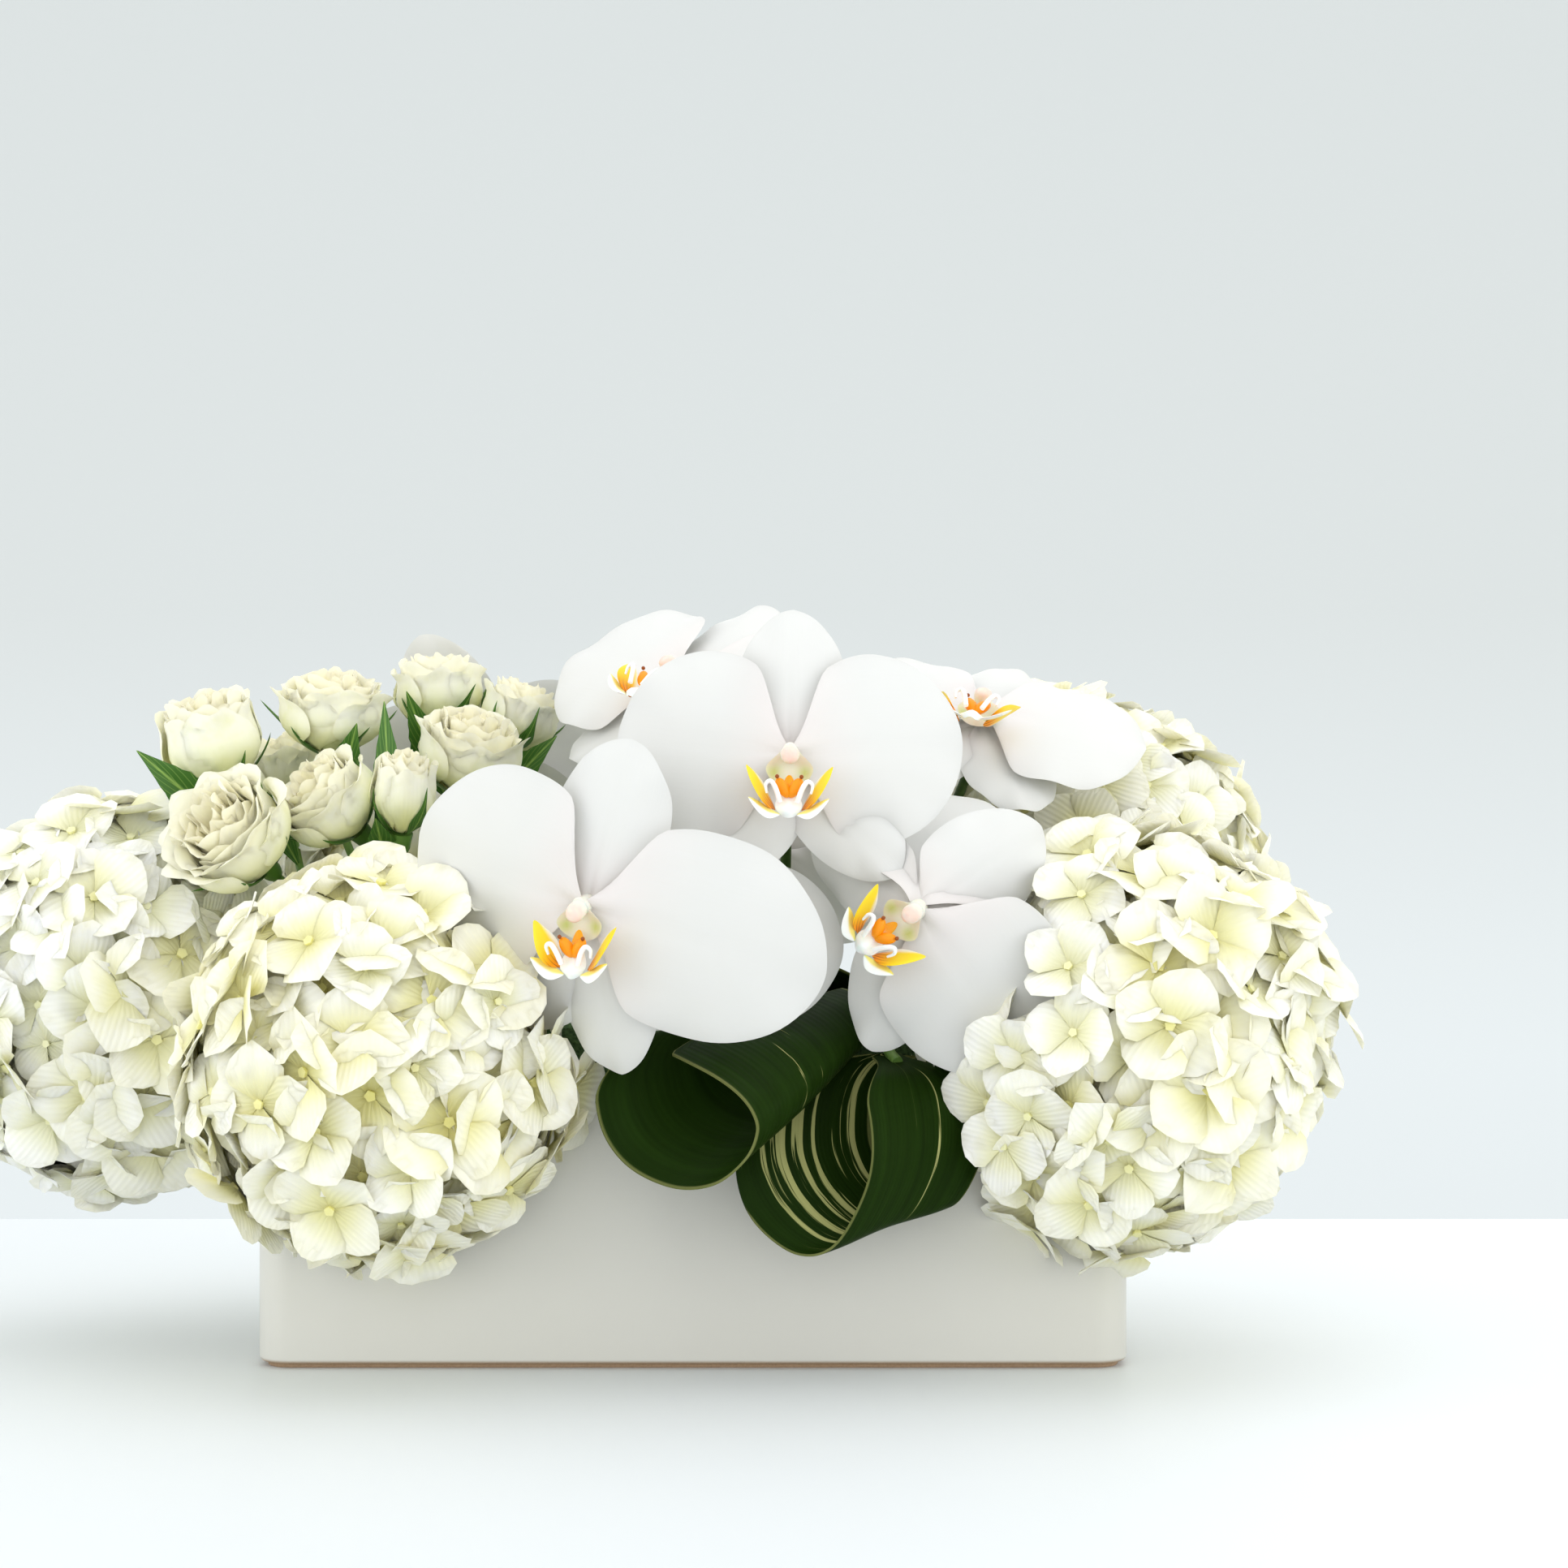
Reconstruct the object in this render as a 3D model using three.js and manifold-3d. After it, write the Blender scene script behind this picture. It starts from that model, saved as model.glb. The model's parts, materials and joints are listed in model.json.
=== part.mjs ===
/**
 * Floral table centerpiece.
 *
 * A long rectangular glazed vase holds a block of soaked foam. Five hydrangea heads, nine spray
 * roses, eight moth orchid blooms and four looped striped leaves stand in the foam on stems.
 *
 * Millimetres, +Z up. The origin is the middle of the vase's underside, +X runs along the vase's
 * length and -Y is its front.
 */
import * as THREE from "three";
import { ConvexHull } from "three/addons/math/ConvexHull.js";
import { mergeVertices } from "three/addons/utils/BufferGeometryUtils.js";
import Module from "manifold-3d";

const wasm = await Module();
wasm.setup();

// ---------------------------------------------------------------- driving dimensions

const TOUCH_GAP = 0.4; // between pieces that lie against each other
const CLEAR_GAP = 0.5; // least distance that a floret keeps from its neighbours
const SLIVER = 0.05; // faces narrower than this are merged away where pieces are fused

const VASE = { length: 305, depth: 127, height: 102, wall: 6, floor: 8, corner: 12, soft: 1.6 };
const FOOT = { inset: 3, height: 1.6 };
const FOAM = { length: 280, depth: 104, top: 122, corner: 8, soft: 4 };
const STEM_FOOT = 62; // height that the stems reach down to in the foam
const STEM_MOUTH = FOAM.top + 7; // height at which a stem starts to bend

const HEAD_CORE = 0.74; // core radius as a share of the head's radius
const FLORET = { radius: 18.5, notch: 0.5, dish: 2, gapDepth: 13, notchDepth: 4 };
const DRAW_IN = { rounds: 14, step: 2, reach: 12 }; // how a head gives way to what presses on it
const HEAD_STEM_RADIUS = 3.2;

// A head's stem runs straight from its foot to its mouth, then bends through approach to its end.
const HEADS = [
  {
    name: "hydrangea_left",
    centre: [-212, 5, 125],
    radius: 75,
    florets: 37,
    stem: { foot: [-112, 5], mouth: [-131, 5], approach: [-152, 5, 140], end: [-182, 5, 128] },
  },
  {
    name: "hydrangea_front_left",
    centre: [-106, -82, 108],
    radius: 72,
    florets: 36,
    stem: { foot: [-88, -20], mouth: [-92, -33], approach: [-97, -54, 138], end: [-103, -70, 120] },
  },
  {
    name: "hydrangea_front_right",
    centre: [154, -60, 111],
    radius: 81,
    florets: 39,
    stem: { foot: [104, -20], mouth: [112, -31], approach: [124, -42, 140], end: [140, -52, 124] },
  },
  {
    name: "hydrangea_back_right",
    centre: [146, 50, 167],
    radius: 78,
    florets: 36,
    stem: { foot: [102, 22], mouth: [108, 27], approach: [116, 35, 148], end: [132, 44, 160] },
  },
  {
    name: "hydrangea_back_left",
    centre: [-110, 78, 138],
    radius: 72,
    florets: 34,
    stem: { foot: [-90, 24], mouth: [-93, 33], approach: [-98, 52, 142], end: [-106, 68, 138] },
  },
];

// A rose's centre is the middle of its bloom, and it opens towards its axis.
const ROSE_SEGMENTS = 12;
const ROSE_BASE_RADIUS = 3.6;
const ROSES = [
  { centre: [-177, -12, 221], axis: [-0.25, -0.2, 1], radius: 21, height: 38, open: 0.15 },
  { centre: [-165, -50, 186], axis: [-0.4, -0.85, 0.1], radius: 25, height: 34, open: 1 },
  { centre: [-157, 35, 209], axis: [-0.15, 0, 1], radius: 18, height: 29, open: 0.6 },
  { centre: [-131, -34, 197], axis: [-0.6, -0.45, 0.65], radius: 18, height: 31, open: 0.5 },
  { centre: [-134, 0, 233], axis: [0.05, -0.25, 1], radius: 22, height: 30, open: 0.9 },
  { centre: [-103, -41, 202], axis: [0.1, -0.3, 0.95], radius: 13, height: 30, open: 0 },
  { centre: [-82, -14, 217], axis: [0.2, -0.45, 0.8], radius: 19.5, height: 30, open: 0.9 },
  { centre: [-98, 28, 239], axis: [-0.05, 0.1, 1], radius: 17, height: 29, open: 0.7 },
  { centre: [-66, 24, 232], axis: [0.4, -0.05, 0.9], radius: 15, height: 26, open: 0.7 },
];
// A spray's leaves run from a rose's twig to their tips.
const SPRAYS = [
  {
    name: "rose_spray_left",
    roses: [0, 1, 2],
    foot: [-122, -14],
    fork: [-140, -4, 160],
    leaves: [{ rose: 0, tip: [-206, -20, 207], width: 15 }],
  },
  {
    name: "rose_spray_middle",
    roses: [3, 4, 5],
    foot: [-104, -2],
    fork: [-114, -8, 160],
    leaves: [{ rose: 4, tip: [-112, -6, 222], width: 13 }],
  },
  {
    name: "rose_spray_right",
    roses: [6, 7, 8],
    foot: [-78, 4],
    fork: [-86, 8, 170],
    leaves: [{ rose: 7, tip: [-126, 34, 214], width: 14 }],
  },
];
const ROSE_STEM_RADIUS = 1.6;
const SPRAY_STEM_RADIUS = 2.2;

// A bloom faces along its facing; its roll turns it clockwise as its viewer sees it. Its stem
// stands in the foam at foot. adjust turns or tilts single tepals by degrees, or grows them.
const ORCHIDS = [
  {
    centre: [-34, -122, 164],
    facing: [-0.3, -0.92, -0.15],
    roll: 4,
    size: 1.08,
    foot: [-56, -40],
    approach: [-46, -98, 142],
    adjust: {
      petalLeft: { turn: 4 },
      petalRight: { turn: 18 },
      sepalLeft: { turn: -8 },
      sepalRight: { turn: 28, grow: 1.15 },
    },
  },
  {
    centre: [34, -98, 214],
    facing: [0, -1, 0.1],
    roll: 1.5,
    size: 0.985,
    foot: [32, -14],
    adjust: { sepalLeft: { tilt: 7 }, sepalRight: { turn: -17, tilt: 8 } },
  },
  {
    centre: [77, -107, 162],
    facing: [-0.2, -0.95, -0.1],
    roll: 57,
    size: 0.99,
    foot: [66, -16],
    adjust: {
      dorsal: { tilt: -16 },
      petalLeft: { turn: 46, tilt: -50 },
      petalRight: { turn: 14 },
      sepalLeft: { turn: 14, tilt: -24 },
    },
  },
  { centre: [-6, -20, 242], facing: [-0.35, -0.6, 0.7], roll: 15, size: 1, foot: [0, 4] },
  { centre: [103, -28, 229], facing: [0.05, -0.55, 0.83], roll: 20, size: 1, foot: [78, 4] },
  {
    centre: [-84, 68, 208],
    facing: [-0.05, 0.99, 0.1],
    roll: 24,
    size: 0.95,
    foot: [-46, 30],
    adjust: { dorsal: { grow: 1.2 }, petalLeft: { turn: -18 }, petalRight: { turn: -10 } },
  },
  { centre: [30, 92, 178], facing: [0.15, 0.95, 0], roll: 10, size: 1, foot: [26, 34] },
  {
    centre: [-2, -96, 148],
    facing: [0.15, -0.95, 0.05],
    roll: -6,
    size: 0.85,
    foot: [-26, -42],
    adjust: {
      dorsal: { tilt: -38, grow: 0.85 },
      petalLeft: { grow: 0.65 },
      petalRight: { turn: 9, grow: 1.1 },
      sepalLeft: { grow: 0.75 },
      sepalRight: { grow: 0.7 },
    },
  },
];
const TEPALS = {
  dorsal: { length: 50, width: 38, turn: 0, tilt: -4, lift: -2.2 },
  petalLeft: { length: 60, width: 66, turn: -84, tilt: -2, lift: 1.8 },
  petalRight: { length: 60, width: 66, turn: 84, tilt: -2, lift: 1.8 },
  sepalLeft: { length: 47, width: 33, turn: -143, tilt: -4, lift: -2.2 },
  sepalRight: { length: 47, width: 33, turn: 143, tilt: -4, lift: -2.2 },
};
const TEPAL = { thickness: 0.8, claw: 0.12, clawEnd: 0.35, bow: 4, arch: 5 };
const ORCHID_STEM_RADIUS = 1.8;
const ORCHID_BACK = 5; // how far the back of a bloom's receptacle lies behind its centre

// Each loop is its near rim, walked from root to tip. Its far rim lies a leaf's width along axis, and
// is as large as the near rim times coil.
const LEAF = { thickness: 0.8, petiole: 2 };
const LEAVES = [
  {
    rim: [
      [-14, -66, 122], [-31, -86, 110], [-30, -100, 88], [-12, -110, 72], [9, -120, 72],
      [22, -126, 86], [20, -125, 99], [8, -115, 109], [0, -96, 114],
    ],
    axis: [56, 50, 30],
    coil: 0.45,
    foot: [8, -24],
  },
  {
    rim: [
      [46, -80, 110], [57, -98, 103], [61, -108, 86], [59, -109, 68], [49, -106, 49],
      [36, -102, 46], [22, -97, 56], [16, -93, 70], [19, -89, 82], [26, -84, 90],
    ],
    axis: [44, 18, 6],
    coil: 0.8,
    foot: [64, -38],
  },
];

// ---------------------------------------------------------------- materials

const finish = (color, roughness) => new THREE.MeshStandardMaterial({ color, roughness, metalness: 0 });
const GLAZE = finish("#EFEDE4", 0.35);
const FOAM_GREEN = finish("#4E6B3A", 0.95);
const CREAM_PETAL = finish("#F3F2D8", 0.8);
const IVORY_PETAL = finish("#F6F2DC", 0.75);
const WHITE_PETAL = finish("#FBFAFA", 0.6);
const YELLOW_LIP = finish("#F2C21B", 0.6);
const STEM_GREEN = finish("#6E9A3C", 0.7);
const LEAF_GREEN = finish("#24451F", 0.45);

// ---------------------------------------------------------------- geometry helpers

const vec = (point) => new THREE.Vector3(...point);
const radians = THREE.MathUtils.degToRad;

/** A repeatable source of draws from 0 to 1. */
function seeded(seed) {
  let state = seed;
  return () => {
    state = (state + 0x6d2b79f5) | 0;
    let mixed = Math.imul(state ^ (state >>> 15), 1 | state);
    mixed = (mixed + Math.imul(mixed ^ (mixed >>> 7), 61 | mixed)) ^ mixed;
    return ((mixed ^ (mixed >>> 14)) >>> 0) / 4294967296;
  };
}

/** Local +Z looks along facing and local +Y leans towards up. */
function frameAt(origin, facing, up = [0, 0, 1]) {
  const ahead = vec(facing).normalize();
  const right = vec(up).cross(ahead).normalize();
  const above = ahead.clone().cross(right);
  return new THREE.Matrix4().makeBasis(right, above, ahead).setPosition(vec(origin));
}

/** A frame for a piece that grows along axis, whose own turn about that axis doesn't matter. */
function growAt(origin, axis) {
  const steep = Math.abs(vec(axis).normalize().z) > 0.9;
  return frameAt(origin, axis, steep ? [0, 1, 0] : [0, 0, 1]);
}

/** Points and triangles as a geometry, with position alone. */
function geometryOf(points, triangles) {
  const geometry = new THREE.BufferGeometry().setFromPoints(points);
  geometry.setIndex(triangles.flat());
  return geometry;
}

/** A closed geometry as a solid whose faces point out. */
function solidOf(geometry) {
  const bare = geometry.clone();
  bare.deleteAttribute("normal");
  bare.deleteAttribute("uv");
  const merged = mergeVertices(bare, 1e-4);
  const position = merged.attributes.position;
  const corner = (index) => new THREE.Vector3().fromBufferAttribute(position, index);
  const triangles = [];
  let volume = 0;
  for (let start = 0; start < merged.index.count; start += 3) {
    const [a, b, c] = [0, 1, 2].map((offset) => merged.index.getX(start + offset));
    if (a !== b && b !== c && c !== a) {
      triangles.push([a, b, c]);
      volume += corner(a).dot(corner(b).cross(corner(c)));
    }
  }
  const outward = volume < 0 ? triangles.map(([a, b, c]) => [a, c, b]) : triangles;
  const mesh = new wasm.Mesh({
    numProp: 3,
    vertProperties: Float32Array.from(position.array),
    triVerts: Uint32Array.from(outward.flat()),
  });
  return new wasm.Manifold(mesh);
}

const fuse = (solids) => solids.reduce((whole, piece) => whole.add(piece));

/** The solid without loose scraps, sealed hollows and slivers. */
function largestBody(solid) {
  const largest = solid.decompose().reduce((best, body) => (body.volume() > best.volume() ? body : best));
  return largest.asOriginal().simplify(SLIVER);
}

/** A solid as a named mesh. */
function meshOf(name, solid, material) {
  const { vertProperties, triVerts } = solid.getMesh();
  const geometry = new THREE.BufferGeometry();
  geometry.setAttribute("position", new THREE.BufferAttribute(vertProperties, 3));
  geometry.setIndex(new THREE.BufferAttribute(triVerts, 1));
  geometry.computeVertexNormals();
  const mesh = new THREE.Mesh(geometry, material);
  mesh.name = name;
  return mesh;
}

/**
 * A thin closed blade. surface(u, v, side) gives its front where side is 1 and its back where side
 * is -1, for u across and v along it from -1 to 1. Both faces are split alike.
 */
function blade(surface, rows, columns) {
  const points = [];
  const triangles = [];
  const perSide = (rows + 1) * (columns + 1);
  const index = (row, column) => row * (columns + 1) + column;
  for (const side of [1, -1]) {
    for (let row = 0; row <= rows; row += 1) {
      for (let column = 0; column <= columns; column += 1) {
        points.push(surface((2 * column) / columns - 1, (2 * row) / rows - 1, side));
      }
    }
  }
  for (let row = 0; row < rows; row += 1) {
    for (let column = 0; column < columns; column += 1) {
      const [a, b] = [index(row, column), index(row, column + 1)];
      const [d, c] = [index(row + 1, column), index(row + 1, column + 1)];
      triangles.push([a, b, c], [a, c, d]);
      triangles.push([a + perSide, c + perSide, b + perSide], [a + perSide, d + perSide, c + perSide]);
    }
  }
  const rim = [];
  for (let column = 0; column < columns; column += 1) rim.push(index(0, column));
  for (let row = 0; row < rows; row += 1) rim.push(index(row, columns));
  for (let column = columns; column > 0; column -= 1) rim.push(index(rows, column));
  for (let row = rows; row > 0; row -= 1) rim.push(index(row, 0));
  rim.forEach((here, place) => {
    const next = rim[(place + 1) % rim.length];
    triangles.push([next, here, here + perSide], [next, here + perSide, next + perSide]);
  });
  return geometryOf(points, triangles);
}

/** Stacked rings of as many points each, closed by a flat cap at both ends. */
function stack(rings) {
  const count = rings[0].length;
  const triangles = [];
  for (let ring = 0; ring + 1 < rings.length; ring += 1) {
    for (let place = 0; place < count; place += 1) {
      const next = (place + 1) % count;
      const [a, b] = [ring * count + place, ring * count + next];
      triangles.push([a, b, b + count], [a, b + count, a + count]);
    }
  }
  const last = (rings.length - 1) * count;
  for (let place = 1; place + 1 < count; place += 1) {
    triangles.push([0, place + 1, place], [last, last + place, last + place + 1]);
  }
  return geometryOf(rings.flat(), triangles);
}

/** A rod with flat ends through points. */
function rod(points, radius, sides = 6) {
  const last = points.length - 1;
  const side = new THREE.Vector3(1, 0, 0);
  const rings = points.map((point, order) => {
    const ahead = points[Math.min(order + 1, last)].clone().sub(points[Math.max(order - 1, 0)]);
    ahead.normalize();
    side.addScaledVector(ahead, -side.dot(ahead)).normalize();
    const across = ahead.clone().cross(side);
    return Array.from({ length: sides }, (_, place) => {
      const angle = (place / sides) * 2 * Math.PI;
      const out = side.clone().multiplyScalar(radius * Math.cos(angle));
      return out.addScaledVector(across, radius * Math.sin(angle)).add(point);
    });
  });
  return solidOf(stack(rings));
}

/** The outline of a block with round corners, drawn in by inset, at height z. */
function blockRing({ length, depth, corner }, inset, z) {
  const cornerSteps = 3;
  const radius = Math.max(corner - inset, 0.5);
  const [x, y] = [length / 2 - inset - radius, depth / 2 - inset - radius];
  const points = [];
  for (const [signX, signY, start] of [[1, 1, 0], [-1, 1, 90], [-1, -1, 180], [1, -1, 270]]) {
    for (let step = 0; step <= cornerSteps; step += 1) {
      const angle = radians(start + (90 * step) / cornerSteps);
      points.push(
        new THREE.Vector3(signX * x + radius * Math.cos(angle), signY * y + radius * Math.sin(angle), z),
      );
    }
  }
  return points;
}

/** Whether the solid stays gap away from every obstacle. */
function isClear(solid, obstacles, gap = CLEAR_GAP) {
  const box = solid.boundingBox();
  return obstacles.every((obstacle) => {
    const other = obstacle.boundingBox();
    const apart = [0, 1, 2].some(
      (axis) => box.min[axis] > other.max[axis] + gap || other.min[axis] > box.max[axis] + gap,
    );
    return apart || solid.minGap(obstacle, gap) >= gap;
  });
}

// ---------------------------------------------------------------- stems

/** Where a stalk's straight part starts in the foam and where it leaves it. */
function stalkFoot({ foot, mouth = foot }) {
  return [new THREE.Vector3(...foot, STEM_FOOT), new THREE.Vector3(...mouth, STEM_MOUTH)];
}

/** Points along a stalk: straight from foot to mouth, then bent through approach to its end. */
function stalkPoints(stem, extra = 0, steps = 5) {
  const [start, bend] = stalkFoot(stem);
  const [near, stop] = [stem.approach, stem.end].map(vec);
  stop.addScaledVector(stop.clone().sub(near).normalize(), extra);
  const ahead = bend.clone().sub(start).normalize();
  const lead = bend.clone().addScaledVector(ahead, bend.distanceTo(near) / 2);
  return [start, ...new THREE.CubicBezierCurve3(bend, lead, near, stop).getPoints(steps)];
}

/** A plain straight hole in the foam for a stalk, a little longer and wider than the stalk. */
function bore(stem, radius, sides = 6) {
  const [start, stop] = stalkFoot(stem);
  const ahead = stop.clone().sub(start).normalize();
  const wide = (radius + TOUCH_GAP) / Math.cos(Math.PI / sides);
  return rod([start.addScaledVector(ahead, -TOUCH_GAP), stop], wide, sides);
}

// ---------------------------------------------------------------- vase and foam

function makeVase() {
  const { height, wall, floor, soft } = VASE;
  const outside = [
    [FOOT.inset, 0],
    [FOOT.inset, FOOT.height],
    [soft, FOOT.height],
    [0, FOOT.height + soft],
    [0, height - soft],
    [soft, height],
  ];
  const inside = [[wall - soft, height], [wall, height - soft], [wall, floor]];
  return solidOf(stack([...outside, ...inside].map(([inset, z]) => blockRing(VASE, inset, z))));
}

function makeFoam(bores) {
  const bottom = VASE.floor + TOUCH_GAP;
  const levels = [[0, bottom], [0, FOAM.top - FOAM.soft], [FOAM.soft, FOAM.top]];
  const block = solidOf(stack(levels.map(([inset, z]) => blockRing(FOAM, inset, z))));
  return bores.reduce((foam, hole) => foam.subtract(hole), block);
}

// ---------------------------------------------------------------- looped leaves

function leafRims({ rim, axis, coil }) {
  const near = rim.map(vec);
  const middle = near.reduce((sum, point) => sum.add(point), new THREE.Vector3());
  middle.divideScalar(near.length);
  const far = near.map((point) =>
    point.clone().sub(middle).multiplyScalar(coil).add(middle).add(vec(axis)),
  );
  return [new THREE.CatmullRomCurve3(near), new THREE.CatmullRomCurve3(far)];
}

/** The petiole stands in the foam and runs into the middle of the leaf's root end. */
function petioleStem(leaf) {
  const [near, far] = leafRims(leaf).map((rim) => rim.getPoint(0.03));
  const [nearNext, farNext] = leafRims(leaf).map((rim) => rim.getPoint(0.1));
  const end = near.add(far).divideScalar(2);
  const next = nearNext.add(farNext).divideScalar(2);
  const approach = end.clone().addScaledVector(end.clone().sub(next).normalize(), 10);
  return { foot: leaf.foot, approach: approach.toArray(), end: end.toArray() };
}

function makeLeaf(leaf) {
  const [near, far] = leafRims(leaf);
  const surface = (u, v, side) => {
    const along = (v + 1) / 2;
    const taper = Math.min(1, 0.22 + 6 * Math.min(along, 1 - along));
    const across = (u * taper + 1) / 2;
    const [edge, opposite] = [near.getPoint(along), far.getPoint(along)];
    const run = opposite.clone().sub(edge);
    const normal = near.getTangent(along).cross(run).normalize();
    return edge.addScaledVector(run, across).addScaledVector(normal, (side * LEAF.thickness) / 2);
  };
  const petiole = rod(stalkPoints(petioleStem(leaf), 0, 4), LEAF.petiole, 5);
  return solidOf(blade(surface, 12, 2)).add(petiole);
}

// ---------------------------------------------------------------- orchids

function makeTepal({ length, width, turn, tilt, lift }, size) {
  const { thickness, claw, clawEnd, bow, arch } = TEPAL;
  const surface = (u, v, side) => {
    const along = (v * Math.sqrt(1 - (u * u) / 2) + 1) / 2;
    const narrowing = claw + (1 - claw) * THREE.MathUtils.smoothstep(along, 0, clawEnd);
    const across = u * Math.sqrt(1 - (v * v) / 2) * narrowing;
    const height = (lift - bow * across * across - arch * along * along) * size;
    return new THREE.Vector3(
      (across * width * size) / 2,
      along * length * size,
      height + (side * thickness) / 2,
    );
  };
  const [rows, columns] = width > 50 ? [4, 4] : [3, 2];
  return blade(surface, rows, columns).rotateX(radians(tilt)).rotateZ(radians(-turn));
}

function orchidFrame({ centre, facing, roll }) {
  return frameAt(centre, facing).multiply(new THREE.Matrix4().makeRotationZ(radians(-roll)));
}

/** Two broad petals lie before three sepals, and all five grow from the column. */
function makeOrchid(orchid) {
  const place = orchidFrame(orchid);
  const column = new THREE.SphereGeometry(1, 5, 4)
    .rotateX(Math.PI / 2)
    .scale(4.6, 5.2, 8)
    .translate(0, 1.5, 3);
  const tepals = Object.entries(TEPALS).map(([part, tepal]) => {
    const { turn = 0, tilt = 0, grow = 1 } = orchid.adjust?.[part] ?? {};
    const shaped = { ...tepal, turn: tepal.turn + turn, tilt: tepal.tilt + tilt };
    return makeTepal({ ...shaped, length: tepal.length * grow }, orchid.size);
  });
  return largestBody(fuse([column, ...tepals].map((piece) => solidOf(piece.applyMatrix4(place)))));
}

/** The lip below the column: one blade with a long tongue between two raised side lobes. */
function makeLip(orchid) {
  const surface = (u, v, side) => {
    const along = (v + 1) / 2;
    const way = Math.sign(u);
    const lobes = [
      { root: [0, -3.4, 7], tip: [0, -23, 12] },
      { root: [2.6, -3.4, 5.5], tip: [6, -11, 12] },
      { root: [4, -2.6, 5.5], tip: [15, -4, 14] },
    ];
    const { root, tip } = lobes[Math.round(Math.abs(u) * 2)];
    const point = vec(root).lerp(vec(tip), along);
    const bulge = 3 * Math.sin(along * Math.PI) * (1 - Math.abs(u));
    return new THREE.Vector3(way * point.x || 0, point.y, point.z + bulge + side * 0.5);
  };
  return solidOf(blade(surface, 2, 4).applyMatrix4(orchidFrame(orchid)));
}

/** A stalk from the foam to just behind the bloom. */
function orchidStem({ centre, facing, foot, approach }) {
  const ahead = vec(facing).normalize();
  const behind = (distance) => vec(centre).addScaledVector(ahead, -distance).toArray();
  return { foot, approach: approach ?? behind(28), end: behind(ORCHID_BACK + TOUCH_GAP) };
}

// ---------------------------------------------------------------- roses

/**
 * A rose is one folded form: each layer of petals is a rim that stands over a valley on either
 * side, dips where two petals meet, and steps out where one laps its neighbour.
 */
function roseGeometry({ radius, height, open }, seed) {
  const draw = seeded(seed);
  const widest = 0.84 + 0.16 * open;
  const layers = [
    { reach: 0.16, level: 0.97, petals: 2, rim: true },
    { reach: 0.25, level: 0.84 },
    { reach: 0.38 + 0.05 * open, level: 1, petals: 3, rim: true },
    { reach: 0.48 + 0.05 * open, level: 0.82 - 0.06 * open },
    { reach: 0.68 + 0.04 * open, level: 0.95 - 0.05 * open, petals: 4, rim: true },
    { reach: 0.74 + 0.03 * open, level: 0.76 - 0.12 * open },
    { reach: widest, level: 0.84 - 0.16 * open, petals: 4, rim: true },
    { reach: 0.95 * widest, level: 0.68 - 0.16 * open },
    { reach: 0.78, level: 0.3 },
  ];
  const rings = layers.map(({ reach, level, petals = 4, rim = false }) => {
    const phase = Math.floor(draw() * ROSE_SEGMENTS);
    const points = [];
    for (let segment = 0; segment < ROSE_SEGMENTS; segment += 1) {
      const within = (((segment + phase) * petals) / ROSE_SEGMENTS) % 1;
      const seam = Math.abs(within - 0.5) * 2;
      const step = rim ? 0.12 * (within - 0.5) - 0.05 * seam ** 2 : 0;
      const dip = rim ? 0.07 * seam ** 2 : 0;
      const out = radius * (reach + step * reach);
      const angle = (segment / ROSE_SEGMENTS) * 2 * Math.PI;
      points.push(
        new THREE.Vector3(out * Math.cos(angle), out * Math.sin(angle), height * (level - dip)),
      );
    }
    return points;
  });
  const base = rings[0].map(({ x, y }) => {
    const angle = Math.atan2(y, x);
    return new THREE.Vector3(ROSE_BASE_RADIUS * Math.cos(angle), ROSE_BASE_RADIUS * Math.sin(angle), 0);
  });
  return stack([...rings, base]);
}

/** The middle of a rose's underside, drawn back by gap along its axis. */
function roseBase({ centre, axis, height }, gap) {
  return vec(centre).addScaledVector(vec(axis).normalize(), -height / 2 - gap).toArray();
}

function makeRose(rose, seed) {
  const place = growAt(roseBase(rose, 0), rose.axis);
  return solidOf(roseGeometry(rose, seed).applyMatrix4(place));
}

/** The green cup under a rose, with five pointed sepals. */
function makeCalyx(rose, seed) {
  const draw = seeded(seed);
  const top = [];
  const middle = [];
  const bottom = [];
  for (let place = 0; place < 10; place += 1) {
    const angle = (place / 10) * 2 * Math.PI;
    const tip = place % 2 === 0;
    const reach = tip ? 15 + 6 * draw() : 4.6;
    const droop = tip ? -3 - 9 * draw() : -3;
    const around = (radius, z) => new THREE.Vector3(radius * Math.cos(angle), radius * Math.sin(angle), z);
    top.push(around(4.2, 0));
    middle.push(around(reach, droop));
    bottom.push(around(1.6, -9));
  }
  const place = growAt(roseBase(rose, TOUCH_GAP), rose.axis);
  return solidOf(stack([top, middle, bottom]).applyMatrix4(place));
}

function sprayStem({ foot, fork }) {
  const approach = [(foot[0] + fork[0]) / 2, (foot[1] + fork[1]) / 2, fork[2] - 12];
  return { foot, approach, end: fork };
}

/** The twig that runs from a spray's fork into the cup under one of its roses. */
function twigCurve({ fork: [x, y, z] }, rose) {
  const points = [[x, y, z - 4], roseBase(ROSES[rose], 30), roseBase(ROSES[rose], 7)];
  return new THREE.QuadraticBezierCurve3(...points.map(vec));
}

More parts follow.
